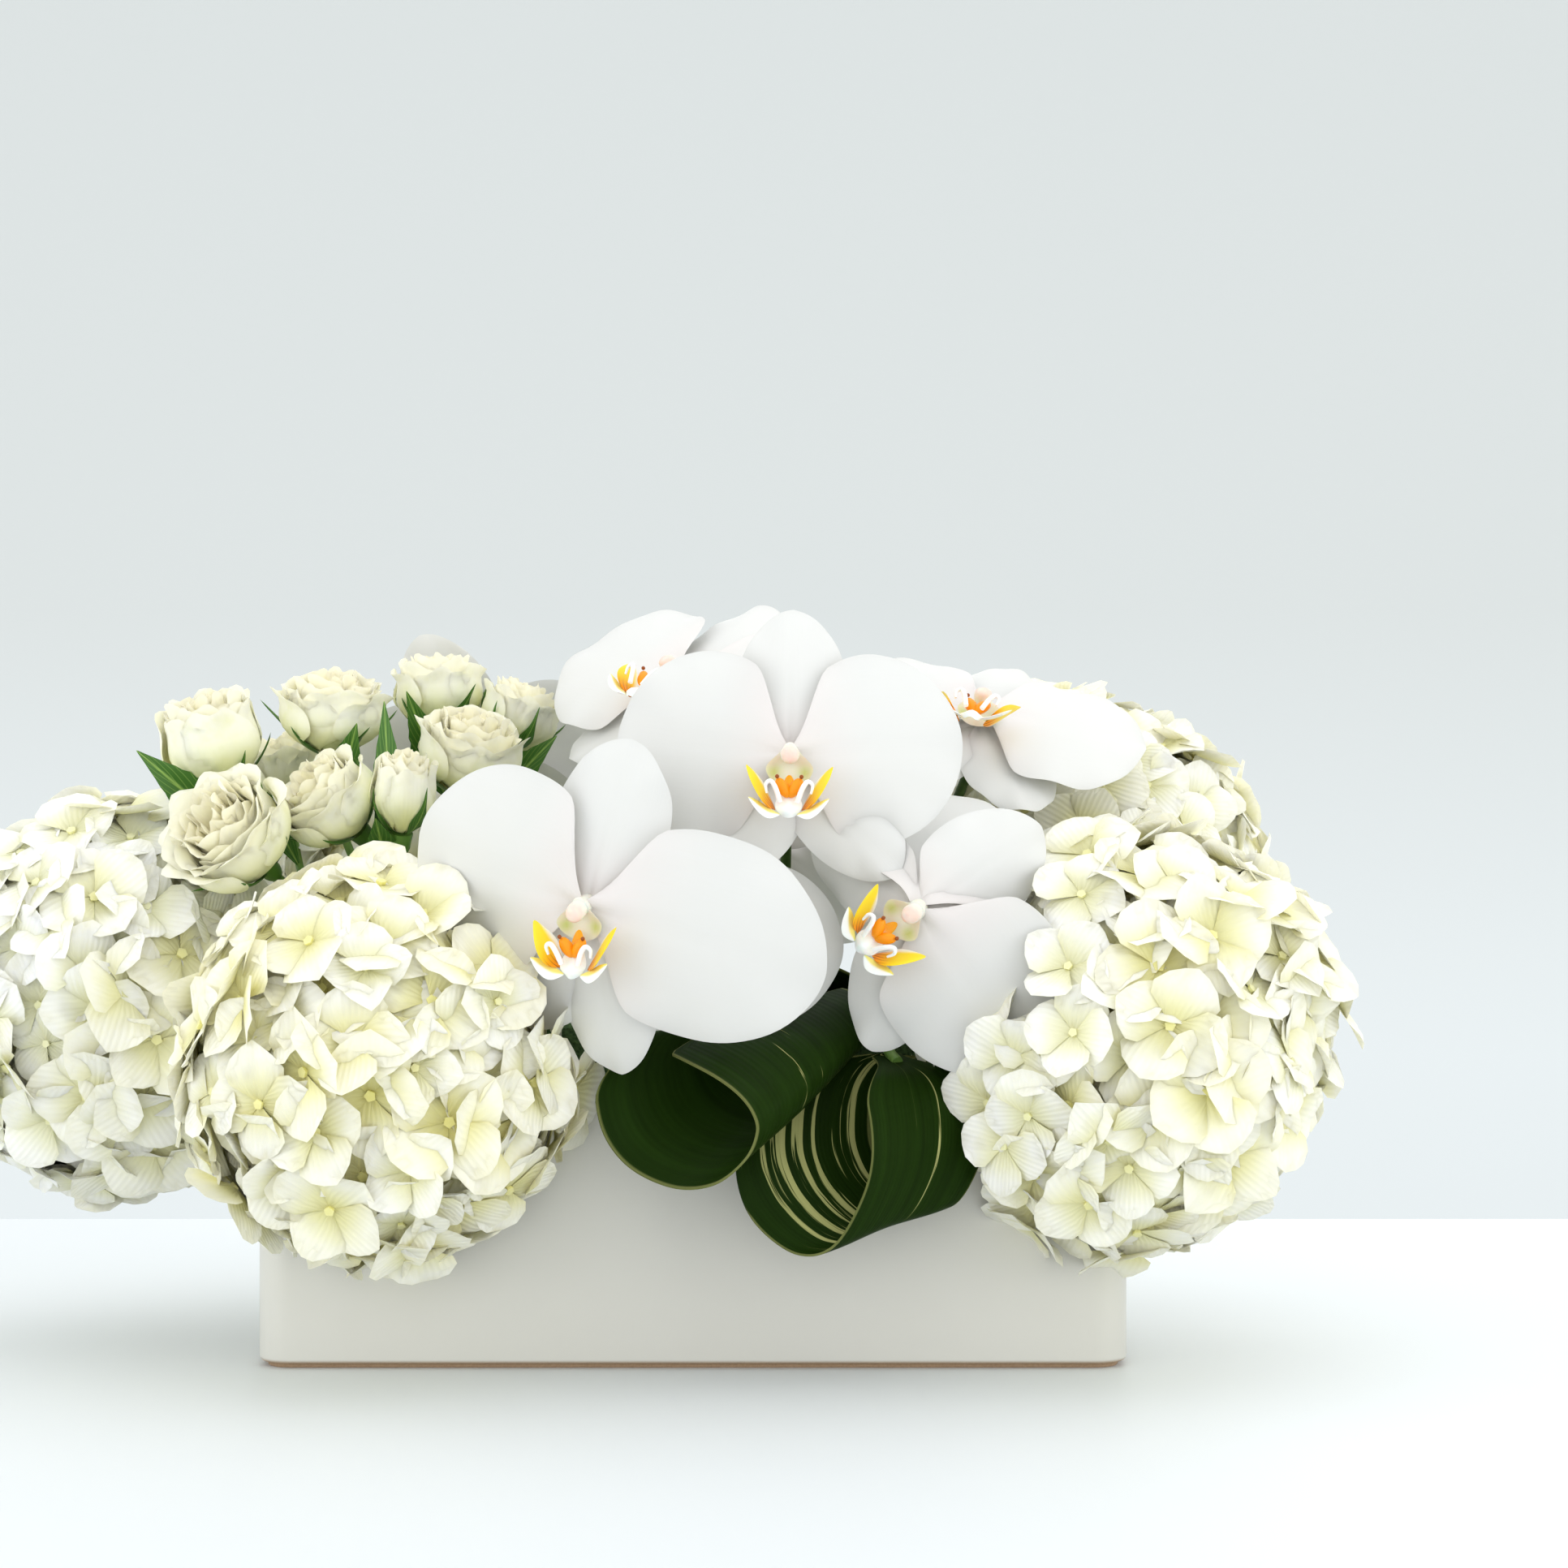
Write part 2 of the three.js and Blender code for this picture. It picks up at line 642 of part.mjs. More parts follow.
/** A small leaf from a rose's twig to its tip. */
function sprayLeaf(spray, { rose, tip, width }) {
  const root = twigCurve(spray, rose).getPoints(3)[2];
  const reach = vec(tip).sub(root);
  const surface = (u, v, side) => {
    const along = (v + 1) / 2;
    const across = u * (0.12 + 0.88 * Math.sin(Math.PI * along ** 0.8)) * (width / 2);
    const fold = 0.25 * Math.abs(across) + 0.1 * width * Math.sin(Math.PI * along);
    return new THREE.Vector3(across, fold + side * 0.4, along * reach.length());
  };
  return solidOf(blade(surface, 3, 2).applyMatrix4(growAt(root.toArray(), reach.toArray())));
}

function makeSpray(spray) {
  const trunk = rod(stalkPoints(sprayStem(spray), 0, 3), SPRAY_STEM_RADIUS, 5);
  const twigs = spray.roses.map((index) => {
    return rod(twigCurve(spray, index).getPoints(3), ROSE_STEM_RADIUS, 4);
  });
  const cups = spray.roses.map((index) => makeCalyx(ROSES[index], 60 + index));
  const leaves = spray.leaves.map((leaf) => sprayLeaf(spray, leaf));
  return largestBody(fuse([trunk, ...twigs, ...cups, ...leaves]));
}

// ---------------------------------------------------------------- hydrangeas

/** Triangles that join directions on a ball into one closed skin. */
function skinOver(directions) {
  const order = new Map(directions.map((direction, index) => [direction, index]));
  const hull = new ConvexHull().setFromPoints(directions);
  return hull.faces.map((face) => {
    const corners = [];
    let edge = face.edge;
    do {
      corners.push(order.get(edge.head().point));
      edge = edge.next;
    } while (edge !== face.edge);
    return corners;
  });
}

/** Directions spread evenly round a ball. */
function evenDirections(count) {
  const golden = Math.PI * (3 - Math.sqrt(5));
  return Array.from({ length: count }, (_, order) => {
    const height = 1 - (2 * order + 1) / count;
    const ring = Math.sqrt(1 - height * height);
    return new THREE.Vector3(ring * Math.cos(order * golden), ring * Math.sin(order * golden), height);
  });
}

/** How far a head reaches in a direction before it presses on a neighbouring head. */
function pressedReach(head, direction) {
  const centre = vec(head.centre);
  return HEADS.reduce((reach, other) => {
    const towards = vec(other.centre).sub(centre);
    const distance = towards.length();
    if (other === head || distance > head.radius + other.radius) return reach;
    const plane = (distance ** 2 + head.radius ** 2 - other.radius ** 2) / (2 * distance) - 2;
    const facing = direction.dot(towards) / distance;
    return facing > 0 ? Math.min(reach, plane / facing) : reach;
  }, head.radius);
}

/** The points of a four-lobed floret facing +Z: its middle, its lobes and the deep notches. */
function floretPoints(draw) {
  const { radius, notch, dish, notchDepth } = FLORET;
  const points = [new THREE.Vector3(0, 0, -dish)];
  for (let lobe = 0; lobe < 4; lobe += 1) {
    const reach = radius * (0.95 + 0.1 * draw());
    const rise = 2 * (draw() - 0.5);
    const corners = [[-45, radius * notch, -notchDepth], [-24, reach, rise], [24, reach, rise]];
    for (const [angle, out, height] of corners) {
      const turn = radians(lobe * 90 + angle);
      points.push(new THREE.Vector3(out * Math.cos(turn), out * Math.sin(turn), height));
    }
  }
  return points;
}

/** How far out a floret can sit in a direction and stay clear, or 0 where none fits. */
function floretSeat(head, direction, reach, obstacles) {
  const core = head.radius * HEAD_CORE;
  const depths = [0, 4, 8, 12, 16].filter((sunk) => reach - sunk > core + 1);
  const fitting = depths.find((sunk) => {
    const [low, high] = [core - 2, reach - sunk + 1];
    const wide = FLORET.radius * 1.12;
    const room = new THREE.CylinderGeometry(wide, (wide * low) / high, high - low, 8)
      .rotateX(Math.PI / 2)
      .translate(0, 0, (high + low) / 2)
      .applyMatrix4(growAt(head.centre, direction.toArray()));
    return isClear(solidOf(room), obstacles);
  });
  return fitting === undefined ? 0 : reach - fitting;
}

/** Draws a head's skin in, a little at a time, wherever it still cuts into a neighbour. */
function drawnIn(offsets, centre, cuts, obstacles) {
  const skin = skinOver(offsets.map((offset) => offset.clone().normalize()));
  const build = () => {
    const whole = solidOf(geometryOf(offsets.map((offset) => offset.clone().add(centre)), skin));
    return largestBody(cuts.reduce((body, cut) => body.subtract(cut), whole));
  };
  let body = build();
  for (let round = 0; round < DRAW_IN.rounds; round += 1) {
    const bites = obstacles.map((obstacle) => body.intersect(obstacle));
    const deep = bites.filter((bite) => bite.volume() > 1e-4);
    if (deep.length === 0) break;
    for (const bite of deep) {
      const { min, max } = bite.boundingBox();
      const middle = vec(min).add(vec(max)).divideScalar(2).sub(centre);
      const reach = vec(max).distanceTo(vec(min)) / 2 + DRAW_IN.reach;
      for (const offset of offsets) {
        if (offset.distanceTo(middle) < reach) offset.setLength(offset.length() - DRAW_IN.step);
      }
    }
    body = build();
  }
  return body;
}

/** A head is one skin over its florets, which drops to the core in the gaps between them. */
function makeHead(head, cuts, obstacles, seed) {
  const draw = seeded(seed);
  const centre = vec(head.centre);
  const core = head.radius * HEAD_CORE;
  const directions = evenDirections(head.florets);
  const seats = directions.map((direction) => {
    const reach = pressedReach(head, direction) - 4 * draw();
    return floretSeat(head, direction, reach, obstacles);
  });
  const offsets = [];
  directions.forEach((direction, order) => {
    const lobes = seeded(seed * 1000 + order);
    if (seats[order] === 0) {
      offsets.push(direction.clone().multiplyScalar(core));
      return;
    }
    const tipped = direction.clone();
    tipped.add(new THREE.Vector3(lobes() - 0.5, lobes() - 0.5, lobes() - 0.5).multiplyScalar(0.14));
    const place = growAt(direction.clone().multiplyScalar(seats[order]).toArray(), tipped.toArray());
    place.multiply(new THREE.Matrix4().makeRotationZ(2 * Math.PI * lobes()));
    offsets.push(...floretPoints(lobes).map((point) => point.applyMatrix4(place)));
  });
  const faces = skinOver(directions);
  const edges = faces.flatMap(([a, b, c]) => [[a, b], [b, c], [c, a]]).filter(([a, b]) => a < b);
  for (const corners of [...faces, ...edges]) {
    const outermost = Math.min(...corners.map((corner) => seats[corner] || core));
    const gap = corners.reduce((sum, corner) => sum.add(directions[corner]), new THREE.Vector3());
    offsets.push(gap.setLength(Math.max(core, outermost - FLORET.gapDepth)));
  }
  return drawnIn(offsets, centre, cuts, obstacles);
}

// ---------------------------------------------------------------- assembly

const group = new THREE.Group();
group.name = "floral_table_centerpiece";
const placed = [];

function addPiece(name, solid, material) {
  group.add(meshOf(name, solid, material));
  placed.push(solid);
}

/** The same leaf on the other side of the vase, for the back. */
function atBack(leaf) {
  const mirror = ([x, y, ...rest]) => [x, -y, ...rest];
  return { ...leaf, rim: leaf.rim.map(mirror), axis: mirror(leaf.axis), foot: mirror(leaf.foot) };
}

const leaves = [...LEAVES, ...LEAVES.map(atBack)];
const orchidStems = ORCHIDS.map(orchidStem);

addPiece("vase", makeVase(), GLAZE);
const bores = [
  ...HEADS.map(({ stem }) => bore(stem, HEAD_STEM_RADIUS)),
  ...SPRAYS.map((spray) => bore(sprayStem(spray), SPRAY_STEM_RADIUS, 5)),
  ...orchidStems.map((stem) => bore(stem, ORCHID_STEM_RADIUS, 5)),
  ...leaves.map((leaf) => bore(petioleStem(leaf), LEAF.petiole, 5)),
];
addPiece("floral_foam", makeFoam(bores), FOAM_GREEN);

leaves.forEach((leaf, index) => addPiece(`leaf_loop_${index + 1}`, makeLeaf(leaf), LEAF_GREEN));

ORCHIDS.forEach((orchid, index) => {
  const stem = rod(stalkPoints(orchidStems[index]), ORCHID_STEM_RADIUS, 5);
  addPiece(`orchid_${index + 1}_bloom`, makeOrchid(orchid), WHITE_PETAL);
  addPiece(`orchid_${index + 1}_lip`, makeLip(orchid), YELLOW_LIP);
  addPiece(`orchid_${index + 1}_stem`, stem, STEM_GREEN);
});

ROSES.forEach((rose, index) => addPiece(`rose_${index + 1}`, makeRose(rose, 40 + index), IVORY_PETAL));
for (const spray of SPRAYS) addPiece(spray.name, makeSpray(spray), STEM_GREEN);

HEADS.forEach(({ name, stem }) => {
  addPiece(`${name}_stem`, rod(stalkPoints(stem), HEAD_STEM_RADIUS), STEM_GREEN);
});

// A head is pressed in where it lies against the vase and the foam.
const seatBlock = (block, bottom, top) =>
  solidOf(stack([bottom, top].map((z) => blockRing(block, -1.5, z))));
const vaseRoom = seatBlock(VASE, -1, VASE.height + 1.5);
const foamRoom = seatBlock(FOAM, STEM_FOOT, FOAM.top + 1.5);
HEADS.forEach((head, index) => {
  const socket = rod(stalkPoints(head.stem, TOUCH_GAP), HEAD_STEM_RADIUS + 2 * TOUCH_GAP);
  const solid = makeHead(head, [vaseRoom, foamRoom, socket], placed, 7 + index);
  addPiece(head.name, solid, CREAM_PETAL);
});

export default group;
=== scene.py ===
"""Floral table centerpiece: its looks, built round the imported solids.

A long glazed vase holds soaked floral foam, in which hydrangea heads, spray roses, moth orchid
blooms and looped striped leaves stand. Shapes are worked out in millimetres and become metres as
their mesh is made. +X runs along the vase, -Y is its front and +Z is up, as in the solids.
"""

import json
import math
from functools import partial

import bmesh
import bpy
import numpy as np
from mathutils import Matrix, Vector
from mathutils.bvhtree import BVHTree

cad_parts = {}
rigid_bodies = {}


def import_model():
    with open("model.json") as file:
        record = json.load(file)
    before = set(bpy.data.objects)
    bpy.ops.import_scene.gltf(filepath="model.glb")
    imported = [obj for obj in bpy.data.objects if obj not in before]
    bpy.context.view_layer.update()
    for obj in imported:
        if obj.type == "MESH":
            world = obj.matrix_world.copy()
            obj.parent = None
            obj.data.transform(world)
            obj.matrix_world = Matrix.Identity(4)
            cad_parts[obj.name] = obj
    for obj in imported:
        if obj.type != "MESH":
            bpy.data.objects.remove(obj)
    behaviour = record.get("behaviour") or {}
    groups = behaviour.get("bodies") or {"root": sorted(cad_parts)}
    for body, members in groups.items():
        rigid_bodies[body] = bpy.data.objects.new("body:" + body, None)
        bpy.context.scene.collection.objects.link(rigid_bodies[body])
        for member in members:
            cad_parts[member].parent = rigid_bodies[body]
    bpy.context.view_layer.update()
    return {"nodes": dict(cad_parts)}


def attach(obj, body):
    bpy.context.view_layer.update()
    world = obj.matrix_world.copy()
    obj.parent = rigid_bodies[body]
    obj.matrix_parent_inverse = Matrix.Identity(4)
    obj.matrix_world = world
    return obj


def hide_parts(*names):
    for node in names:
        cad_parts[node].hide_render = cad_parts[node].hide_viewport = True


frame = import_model()

MM = 0.001
BODY = "root"
SEEDS = {"tepals": 20, "rose": 40, "sepals": 60, "floret": 200, "head": 300}
RIM_ANGLE = 62  # faces that meet at more than this angle, in degrees, keep a crisp edge

# ---------------------------------------------------------------- sizes and places, in millimetres

CAMERA = {"place": (32, -1263, 204), "lens": 79, "sensor": 36}
# the stage and its light, in metres and watts; every light is unseen by the camera
TABLE = {"back": 0.351, "side": 4}  # it ends a little behind the vase and runs on to the other sides
BACKDROP = {"back": 2.6, "side": 2.5, "low": -0.1, "high": 0.4}  # its painted light changes from low to high
STUDIO = {"colour": "#FBFDFE", "strength": 1.12}
LIGHTS = {
    "overhead_softbox": {"place": (0.1, 0.1, 1.5), "target": (0, 0, 0.1), "size": 1.5, "power": 4},
    "right_softbox": {"place": (1.7, -1.1, 0.7), "target": (0, 0, 0.12), "size": 1.5, "power": 9},
    "left_softbox": {"place": (-1.8, -1.1, 0.6), "target": (0, 0, 0.12), "size": 1.6, "power": 9},
    "back_softbox": {"place": (0.4, 2.2, 0.9), "target": (0, 0, 0.15), "size": 1.8, "power": 9},
    "front_softbox": {"place": (-0.2, -2.3, 0.4), "target": (0, 0, 0.12), "size": 1.6, "power": 5},
}

VASE = {"length": 305, "depth": 127, "height": 102, "wall": 6, "floor": 8, "corner": 12}
FOOT = {"inset": 3, "height": 1.6}
LIP_ROUND = 1.9
STEM_FOOT = 62  # the height at which a stem starts in the foam
STEM_MOUTH = 129  # and that up to which it runs straight
STALK = {"Flare": 1.15, "Sides": 12}

# warmth is how cream a head is, trim draws it in on one side, and stem is its foot, the place where
# it leaves the foam, and the two points that its bend runs to
HEADS = [
    {
        "name": "hydrangea_left", "centre": (-212, 5, 125), "radius": 76, "warmth": 0.2,
        "stem": [(-112, 5), (-131, 5), (-152, 5, 140), (-182, 5, 128)],
    },
    {
        "name": "hydrangea_front_left", "centre": (-106, -82, 108), "radius": 73, "warmth": 0.62,
        "stem": [(-88, -20), (-92, -33), (-97, -54, 138), (-103, -70, 120)],
    },
    {
        "name": "hydrangea_front_right", "centre": (154, -60, 111), "radius": 82, "warmth": 0.5,
        "trim": ((0.75, -0.1, -0.66), 0.2),
        "stem": [(104, -20), (112, -31), (124, -42, 140), (140, -52, 124)],
    },
    {
        "name": "hydrangea_back_right", "centre": (146, 50, 167), "radius": 79, "warmth": 0.55,
        "trim": ((0.8, 0, 0.6), 0.12), "stem": [(102, 22), (108, 27), (116, 35, 148), (132, 44, 160)],
    },
    {
        "name": "hydrangea_back_left", "centre": (-110, 78, 138), "radius": 73, "warmth": 0.4,
        "stem": [(-90, 24), (-93, 33), (-98, 52, 142), (-106, 68, 138)],
    },
]
HEAD_STEM_RADIUS = 3.2
# set_back is how deep a floret may sit, scatter and nod how far its place and facing stray
FLORET = {"reach": 20.5, "thickness": 0.5, "set_back": (6, 13), "scatter": 0.045, "nod": 0.17}
# the inner layer's extra warmth is painted shade: the deeper florets take the yellow of the shade among
# them
LAYERS = {
    "outer": {"share": 1, "spacing": 22, "clear": 11, "sizes": (0.8, 1.12), "painted_shade_warmth": 0},
    "inner": {"share": 0.82, "spacing": 23, "clear": 9, "sizes": (0.62, 0.82), "painted_shade_warmth": 0.4},
}
SEAT = {"innermost": 0.55, "gap": 4, "step": 2.5}
CORE = {"share": 0.7, "points": 420, "least": 8, "gap": 3}
FLORET_KINDS = 5

# open is how far a rose has opened, from a bud at 0 to a full flower at 1
ROSES = [
    {"centre": (-176, -12, 220), "axis": (-0.2, -0.25, 1), "radius": 24, "height": 38, "open": 0.35},
    {"centre": (-163, -50, 186), "axis": (-0.45, -0.65, 0.5), "radius": 26, "height": 38, "open": 0.8},
    {"centre": (-157, 35, 209), "axis": (-0.15, -0.1, 1), "radius": 19.5, "height": 31, "open": 0.6},
    {"centre": (-131, -34, 198), "axis": (-0.6, -0.5, 0.65), "radius": 21, "height": 32, "open": 0.7},
    {"centre": (-134, 0, 231), "axis": (0.05, -0.25, 1), "radius": 24, "height": 32, "open": 0.6},
    {"centre": (-103, -41, 202), "axis": (0.1, -0.3, 0.95), "radius": 13.5, "height": 31, "open": 0.25},
    {"centre": (-82, -14, 216), "axis": (0.15, -0.35, 0.9), "radius": 23, "height": 33, "open": 0.6},
    {"centre": (-98, 28, 239), "axis": (-0.05, 0, 1), "radius": 19.5, "height": 31, "open": 0.6},
    {"centre": (-67, 24, 230), "axis": (0.3, -0.1, 0.9), "radius": 17, "height": 28, "open": 0.6},
]
ROSE_PETAL = {"thickness": 0.7, "turn": 137.5}
SEPAL_THICKNESS = 0.6
ROSE_LEAF_THICKNESS = 0.5
# a leaf is the rose whose twig it grows from, its tip and its width
SPRAYS = [
    {
        "name": "rose_spray_left", "roses": (0, 1, 2), "foot": (-122, -14), "fork": (-140, -4, 160),
        "leaves": [(0, (-199, -36, 216), 16), (1, (-128, -52, 170), 16), (2, (-176, 20, 222), 11)],
    },
    {
        "name": "rose_spray_middle", "roses": (3, 4, 5), "foot": (-104, -2), "fork": (-114, -8, 160),
        "leaves": [(4, (-122, -22, 226), 15), (3, (-112, -50, 192), 14), (5, (-112, -24, 234), 12)],
    },
    {
        "name": "rose_spray_right", "roses": (6, 7, 8), "foot": (-78, 4), "fork": (-86, 8, 170),
        "leaves": [(7, (-106, -6, 238), 13), (6, (-62, -30, 206), 13), (8, (-52, 12, 222), 12)],
    },
]
SPRAY_STEM_RADIUS = 2.2
TWIG_RADIUS = 1.5

# adjust turns and tilts single tepals by degrees, or grows them
ORCHIDS = [
    {
        "centre": (-34, -122, 164), "facing": (-0.3, -0.92, -0.15), "roll": 4, "size": 1.08,
        "foot": (-56, -40), "approach": (-46, -98, 142),
        "adjust": {
            "dorsal": {"turn": 12}, "petal_left": {"turn": 11}, "petal_right": {"turn": 18, "grow": 1.3},
            "sepal_left": {"turn": -8}, "sepal_right": {"turn": 28, "grow": 1.15},
        },
    },
    {
        "centre": (34, -98, 214), "facing": (0, -1, 0.1), "roll": 1.5, "size": 0.985, "foot": (32, -14),
        "adjust": {
            "sepal_left": {"turn": -7, "tilt": 7}, "sepal_right": {"turn": -6, "tilt": 8, "grow": 1.12}
        },
    },
    {
        "centre": (77, -107, 162), "facing": (-0.2, -0.95, -0.1), "roll": 57, "size": 0.99,
        "foot": (66, -16),
        "adjust": {
            "dorsal": {"tilt": -16}, "petal_left": {"turn": 46, "tilt": -50},
            "petal_right": {"turn": 3, "grow": 1.08}, "sepal_left": {"turn": 24, "tilt": -24, "grow": 1.2},
            "sepal_right": {"grow": 1.12},
        },
    },
    {"centre": (-6, -20, 242), "facing": (-0.35, -0.6, 0.7), "roll": 15, "size": 1, "foot": (0, 4)},
    {"centre": (103, -28, 229), "facing": (0.05, -0.55, 0.83), "roll": 20, "size": 1, "foot": (78, 4)},
    {
        "centre": (-84, 68, 208), "facing": (-0.05, 0.99, 0.1), "roll": 24, "size": 0.95, "foot": (-46, 30),
        "adjust": {"dorsal": {"grow": 1.2}, "petal_left": {"turn": -18}, "petal_right": {"turn": -10}},
    },
    {"centre": (30, 92, 178), "facing": (0.15, 0.95, 0), "roll": 10, "size": 1, "foot": (26, 34)},
    {
        "centre": (-2, -96, 148), "facing": (0.15, -0.95, 0.05), "roll": -6, "size": 0.85,
        "foot": (-26, -42),
        "adjust": {
            "dorsal": {"tilt": -38, "grow": 0.85}, "petal_left": {"grow": 0.65},
            "petal_right": {"turn": 9, "grow": 1.1}, "sepal_left": {"grow": 0.75},
            "sepal_right": {"grow": 0.7},
        },
    },
]
TEPALS = {
    "dorsal": {"length": 50, "width": 38, "turn": 0, "tilt": -4, "lift": -2.2},
    "sepal_left": {"length": 47, "width": 33, "turn": -143, "tilt": -4, "lift": -2.2},
    "sepal_right": {"length": 47, "width": 33, "turn": 143, "tilt": -4, "lift": -2.2},
    "petal_left": {"length": 60, "width": 66, "turn": -84, "tilt": -2, "lift": 1.8},
    "petal_right": {"length": 60, "width": 66, "turn": 84, "tilt": -2, "lift": 1.8},
}
TEPAL = {"thickness": 0.9, "claw": 0.3, "claw_end": 0.28, "bow": 4, "arch": 5}
LIP_THICKNESS = {"side": 0.8, "middle": 0.9}
ORCHID_STEM_RADIUS = 1.8
ORCHID_BACK = 5.4  # how far behind a bloom's centre its stalk ends

LEAF = {"thickness": 0.8, "channel": 1.1, "wave": 0.5, "rows": 120, "columns": 18}
# the second leaf's stripes leave its edge towards its tip: from this share of its length, this fast
STRIPE_LEAN = {"from": 0.55, "rate": 0.45}
# rim is one edge of the loop, which coil and axis size and carry over to the other edge, and striped
# is how striped its two sides are
LEAVES = [
    {
        "rim": [
            (-14, -66, 122), (-31, -86, 110), (-31, -98, 90), (-22, -104, 76), (-6, -111, 69),
            (9, -118, 70.5), (20, -123, 79), (23.5, -124, 88), (21.5, -122, 95), (16, -116, 101.5),
            (8, -108, 107), (-2, -98, 111), (-12, -88, 114),
        ],
        "axis": (56, 50, 30), "coil": 0.45, "striped": (0, 0), "foot": (8, -24),
    },
    {
        "rim": [
            (46, -80, 110), (57, -98, 103), (61, -108, 86), (59, -109, 68), (49, -106, 49), (36, -102, 46),
            (22, -97, 56), (16, -93, 70), (17, -86, 84), (22, -78, 97), (31, -71, 106), (43, -66, 109),
        ],
        "axis": (44, 18, 6), "coil": 0.8, "striped": (0.1, 1), "foot": (64, -38),
    },
]
PETIOLE_RADIUS = 2

# ---------------------------------------------------------------- small helpers


def linear(hex_colour):
    """An sRGB hex colour as linear red, green and blue, with alpha."""
    values = [int(hex_colour[start:start + 2], 16) / 255 for start in (1, 3, 5)]
    return (*[v / 12.92 if v <= 0.04045 else ((v + 0.055) / 1.055) ** 2.4 for v in values], 1)


def unit(vector):
    vector = np.asarray(vector, float)
    return vector / np.linalg.norm(vector)


def smooth(value):
    """Eases from 0 to 1 as value goes from 0 to 1."""
    value = np.clip(value, 0, 1)
    return value * value * (3 - 2 * value)


def frame_at(origin, facing, up=(0, 0, 1)):
    """A frame at origin whose Z looks along facing and whose Y leans towards up."""
    ahead = unit(facing)
    right = unit(np.cross(up, ahead))
    place = np.eye(4)
    place[:3, 0] = right
    place[:3, 1] = np.cross(ahead, right)
    place[:3, 2] = ahead
    place[:3, 3] = origin
    return place


def grow_at(origin, axis):
    """A frame for what grows along axis, however it is turned about that axis."""
    steep = abs(unit(axis)[2]) > 0.9
    return frame_at(origin, axis, (0, 1, 0) if steep else (0, 0, 1))


def turned(axis, degrees):
    """A turn about the X, Y or Z axis."""
    place = np.eye(4)
    first, second = {"X": (1, 2), "Y": (2, 0), "Z": (0, 1)}[axis]
    angle = math.radians(degrees)
    place[first, first] = place[second, second] = math.cos(angle)
    place[second, first] = math.sin(angle)
    place[first, second] = -math.sin(angle)
    return place


def through(points, values):
    """Points of a smooth curve through points, for values from 0 at its start to 1 at its end."""
    points = np.asarray(points, float)
    last = len(points) - 1
    padded = np.vstack([2 * points[0] - points[1], points, 2 * points[-1] - points[-2]])
    where = np.clip(np.asarray(values, float), 0, 1) * last
    start = np.minimum(where.astype(int), last - 1)
    step = (where - start)[..., None]
    a, b, c, d = (padded[start + offset] for offset in range(4))
    curve = 2 * b + (c - a) * step + (2 * a - 5 * b + 4 * c - d) * step ** 2
    return (curve + (3 * b - 3 * c + d - a) * step ** 3) / 2


def bend(start, lead, near, stop, steps):
    """Points along a cubic curve from start to stop."""
    t = np.linspace(0, 1, steps + 1)[:, None]
    start, lead, near, stop = (np.asarray(point, float) for point in (start, lead, near, stop))
    first = (1 - t) ** 3 * start + 3 * (1 - t) ** 2 * t * lead
    return first + 3 * (1 - t) * t ** 2 * near + t ** 3 * stop


class Form:
    """Gathers the points, faces, paints and marks of one piece, in millimetres."""

    def __init__(self, *marks):
        self.points = []
        self.faces = []
        self.paints = []
        self.marks = {mark: [] for mark in marks}
        self.count = 0

    def add(self, points, faces, place=None, paint=0, **marks):
        points = np.asarray(points, float).reshape(-1, 3)
        if place is not None:
            points = points @ place[:3, :3].T + place[:3, 3]
        self.faces += [[corner + self.count for corner in face] for face in faces]
        self.paints += [paint] * len(faces)
        self.points.append(points)
        for mark, values in self.marks.items():
            values.append(np.broadcast_to(np.ravel(marks.get(mark, 0)), len(points)))
        self.count += len(points)

    def add_petal(self, surface, rows, columns, thickness, place, paint=0, flip=False, **marks):
        """Adds a petal, marked with its own across and along where marks don't give others."""
        points, faces, across, along = petal(surface, rows, columns, thickness)
        faces = [face[::-1] for face in faces] if flip else faces
        self.add(points, faces, place, paint, **{"across": across, "along": along, **marks})

    def mesh(self, name, materials):
        mesh = bpy.data.meshes.new(name)
        mesh.from_pydata((np.concatenate(self.points) * MM).tolist(), [], self.faces)
        for mark, values in self.marks.items():
            attribute = mesh.attributes.new(mark, "FLOAT", "POINT")
            attribute.data.foreach_set("value", np.concatenate(values).astype(np.float32))
        for material in materials:
            mesh.materials.append(material)
        mesh.polygons.foreach_set("material_index", self.paints)
        mesh.polygons.foreach_set("use_smooth", [True] * len(mesh.polygons))
        mesh.update()
        mesh.set_sharp_from_angle(angle=math.radians(RIM_ANGLE))
        return mesh


def new_object(name, data):
    made = bpy.data.objects.new(name, data)
    bpy.context.scene.collection.objects.link(made)
    return made


def settle(made, slot, *nodes):
    """Makes an object a piece of the part, which stands for its CAD nodes."""
    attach(made, BODY)
    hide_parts(*nodes)


def add_piece(form, name, materials, slot, *nodes):
    settle(new_object(name, form.mesh(name, materials)), slot, *nodes)


